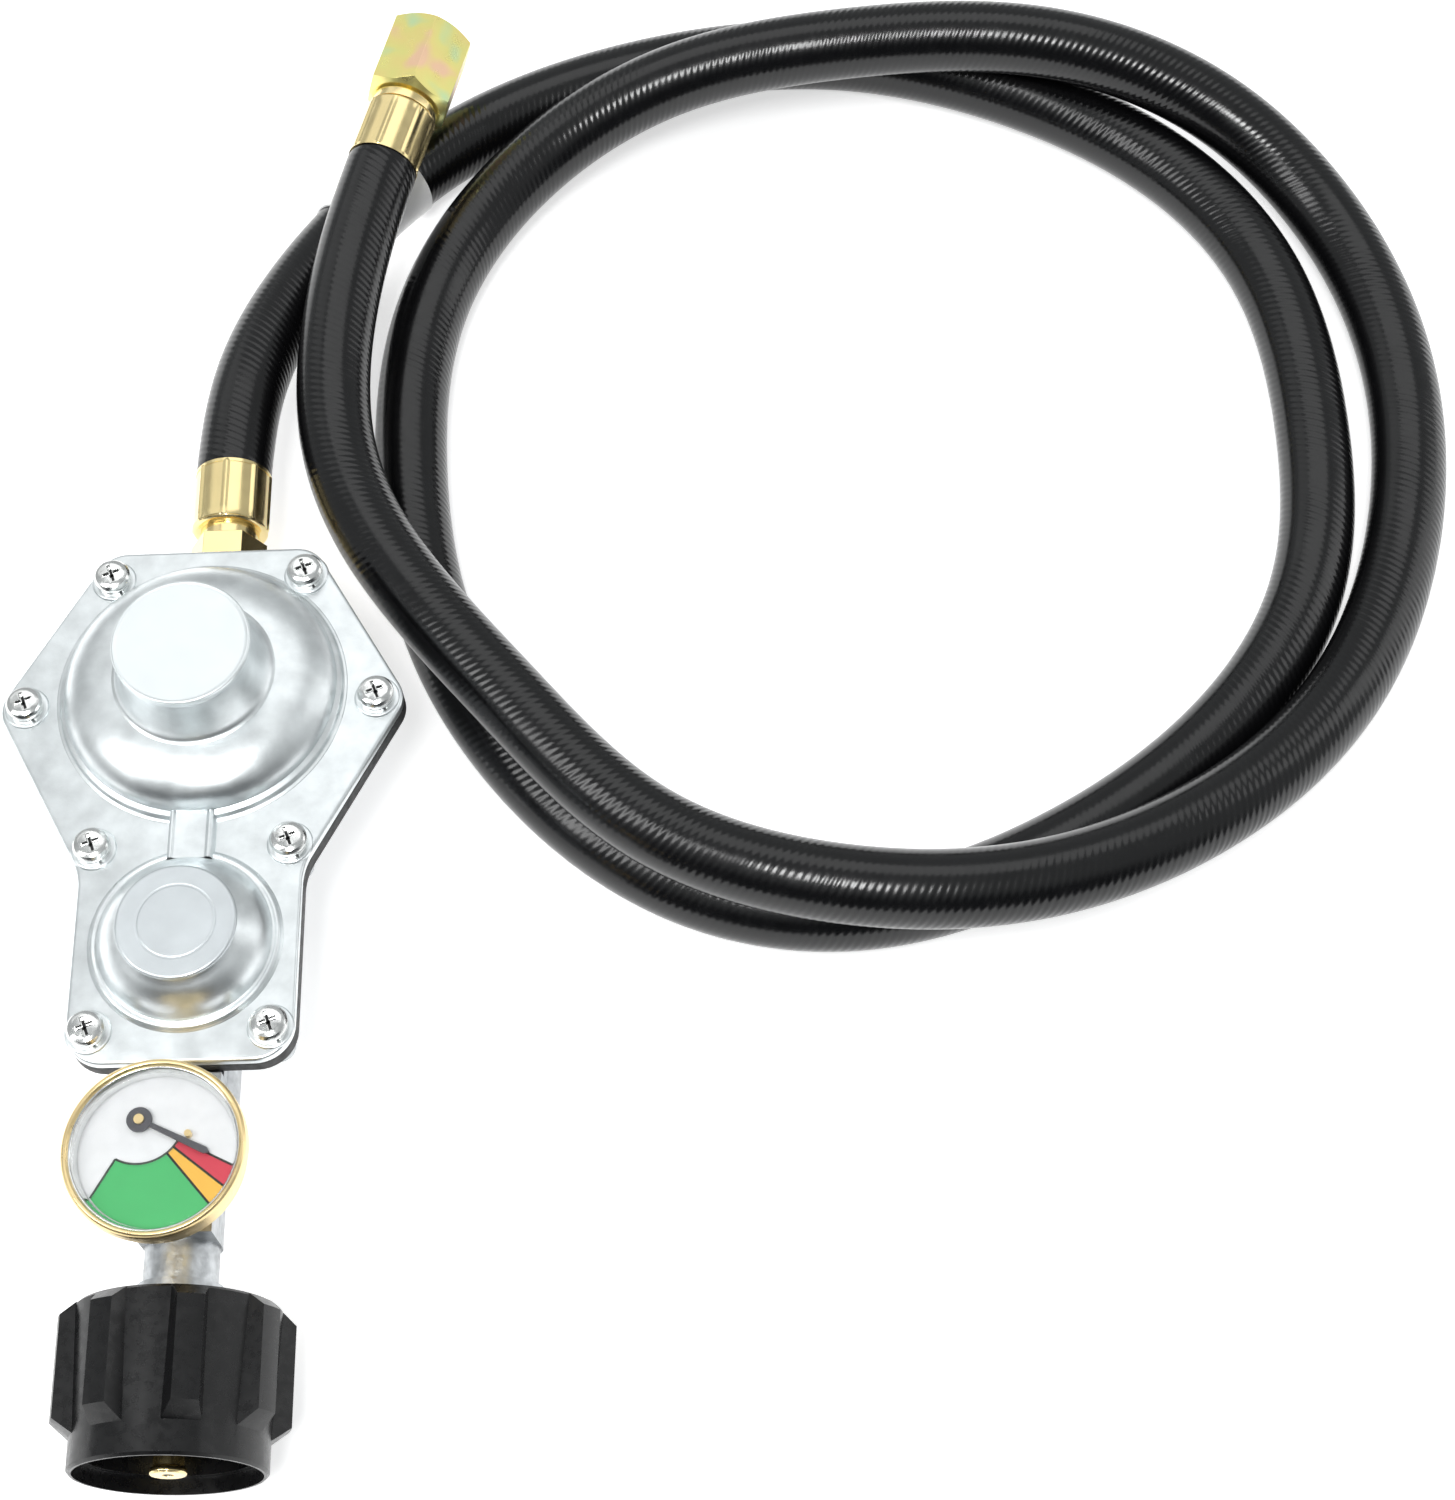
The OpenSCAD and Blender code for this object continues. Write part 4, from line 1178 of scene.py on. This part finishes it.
def make_nipple_bore_shade():
    """Painted shade: a dark disc a little inside the bore that opens at the tip of the nipple, standing in for the
    shade down the hole.
    """
    tip_y = -113
    radius, thickness, depth = 1.05, 0.6, 0.75
    shape = lathe([(0, 0), (radius, 0), (radius, thickness), (0, thickness)], 32)
    towards_tip = Matrix.Rotation(math.radians(90), 3, "X")
    place = (0, tip_y + depth, AXIS_Z)
    # the disc borrows the diaphragm's black rubber as painted shade; it is not a rubber part
    mesh_piece("nipple_bore_painted_shade", *moved(shape, place, towards_tip), "diaphragm_rubber", "regulator")


def make_softened():
    """The nodes of SOFT_EDGES, and the tank nut, which rides on its own body."""
    for node, (slot, width) in SOFT_EDGES.items():
        softened(node, slot, "regulator", width)
    softened("tank_nut", "nut_plastic", "tank_nut", 0.3, 3)


def make_springs():
    """Each diaphragm's spring is squeezed between its plate, which lifts, and its seat in the cover."""
    for stage in ("second", "first"):
        node = stage + "_stage_spring"
        spring = bpy.data.objects.new(stage + "_spring_coil", nodes[node].data.copy())
        bpy.context.collection.objects.link(spring)
        spring.data.materials.clear()
        spring.data.materials.append(MATERIALS["spring_steel"])
        low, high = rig.box(node)
        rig.blend(spring, stage + "_diaphragm_plate", "regulator", low, (low[0], low[1], high[2]))
        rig.slot(spring, "spring_steel")
        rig.replaces(spring, node)


def dress_remaining():
    """Every CAD node that is still shown takes its slot's material."""
    slots = {s["node"]: s["material_slot"] for s in frame["record"]["subparts"]}
    for name, node in nodes.items():
        if node.hide_render:
            continue
        node.data.materials.clear()
        node.data.materials.append(MATERIALS[slots[name]])
        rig.slot(node, slots[name])


def make_floor():
    """A pale sheet 6 m wide that glows a little, so that it stays white."""
    half = 3.0
    corners = [(-half, -half, 0), (half, -half, 0), (half, half, 0), (-half, half, 0)]
    mesh = bpy.data.meshes.new("floor")
    mesh.from_pydata(corners, [], [(0, 1, 2, 3)])
    floor = bpy.data.objects.new("floor", mesh)
    m = Shader("floor_paper", (0.93, 0.93, 0.93), 0, 0.6)
    m.mottle(m.noise(60, 2), 0.01)
    m.shader.inputs["Emission Color"].default_value = (1, 1, 1, 1)
    m.shader.inputs["Emission Strength"].default_value = 0.6
    mesh.materials.append(m.material)
    bpy.context.collection.objects.link(floor)
    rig.stage(floor)


make_camera()
make_hose_ends()
make_hose()
make_cover()
make_caps()
make_gauge()
make_softened()
make_recess_painted_shade()
make_nipple_bore_shade()
make_springs()
dress_remaining()
make_floor()
make_studio()

with open("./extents.json", "w") as out:
    json.dump({"frame": [list(c) for c in size_at_load], "visual": [list(c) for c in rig.bounds()]}, out)
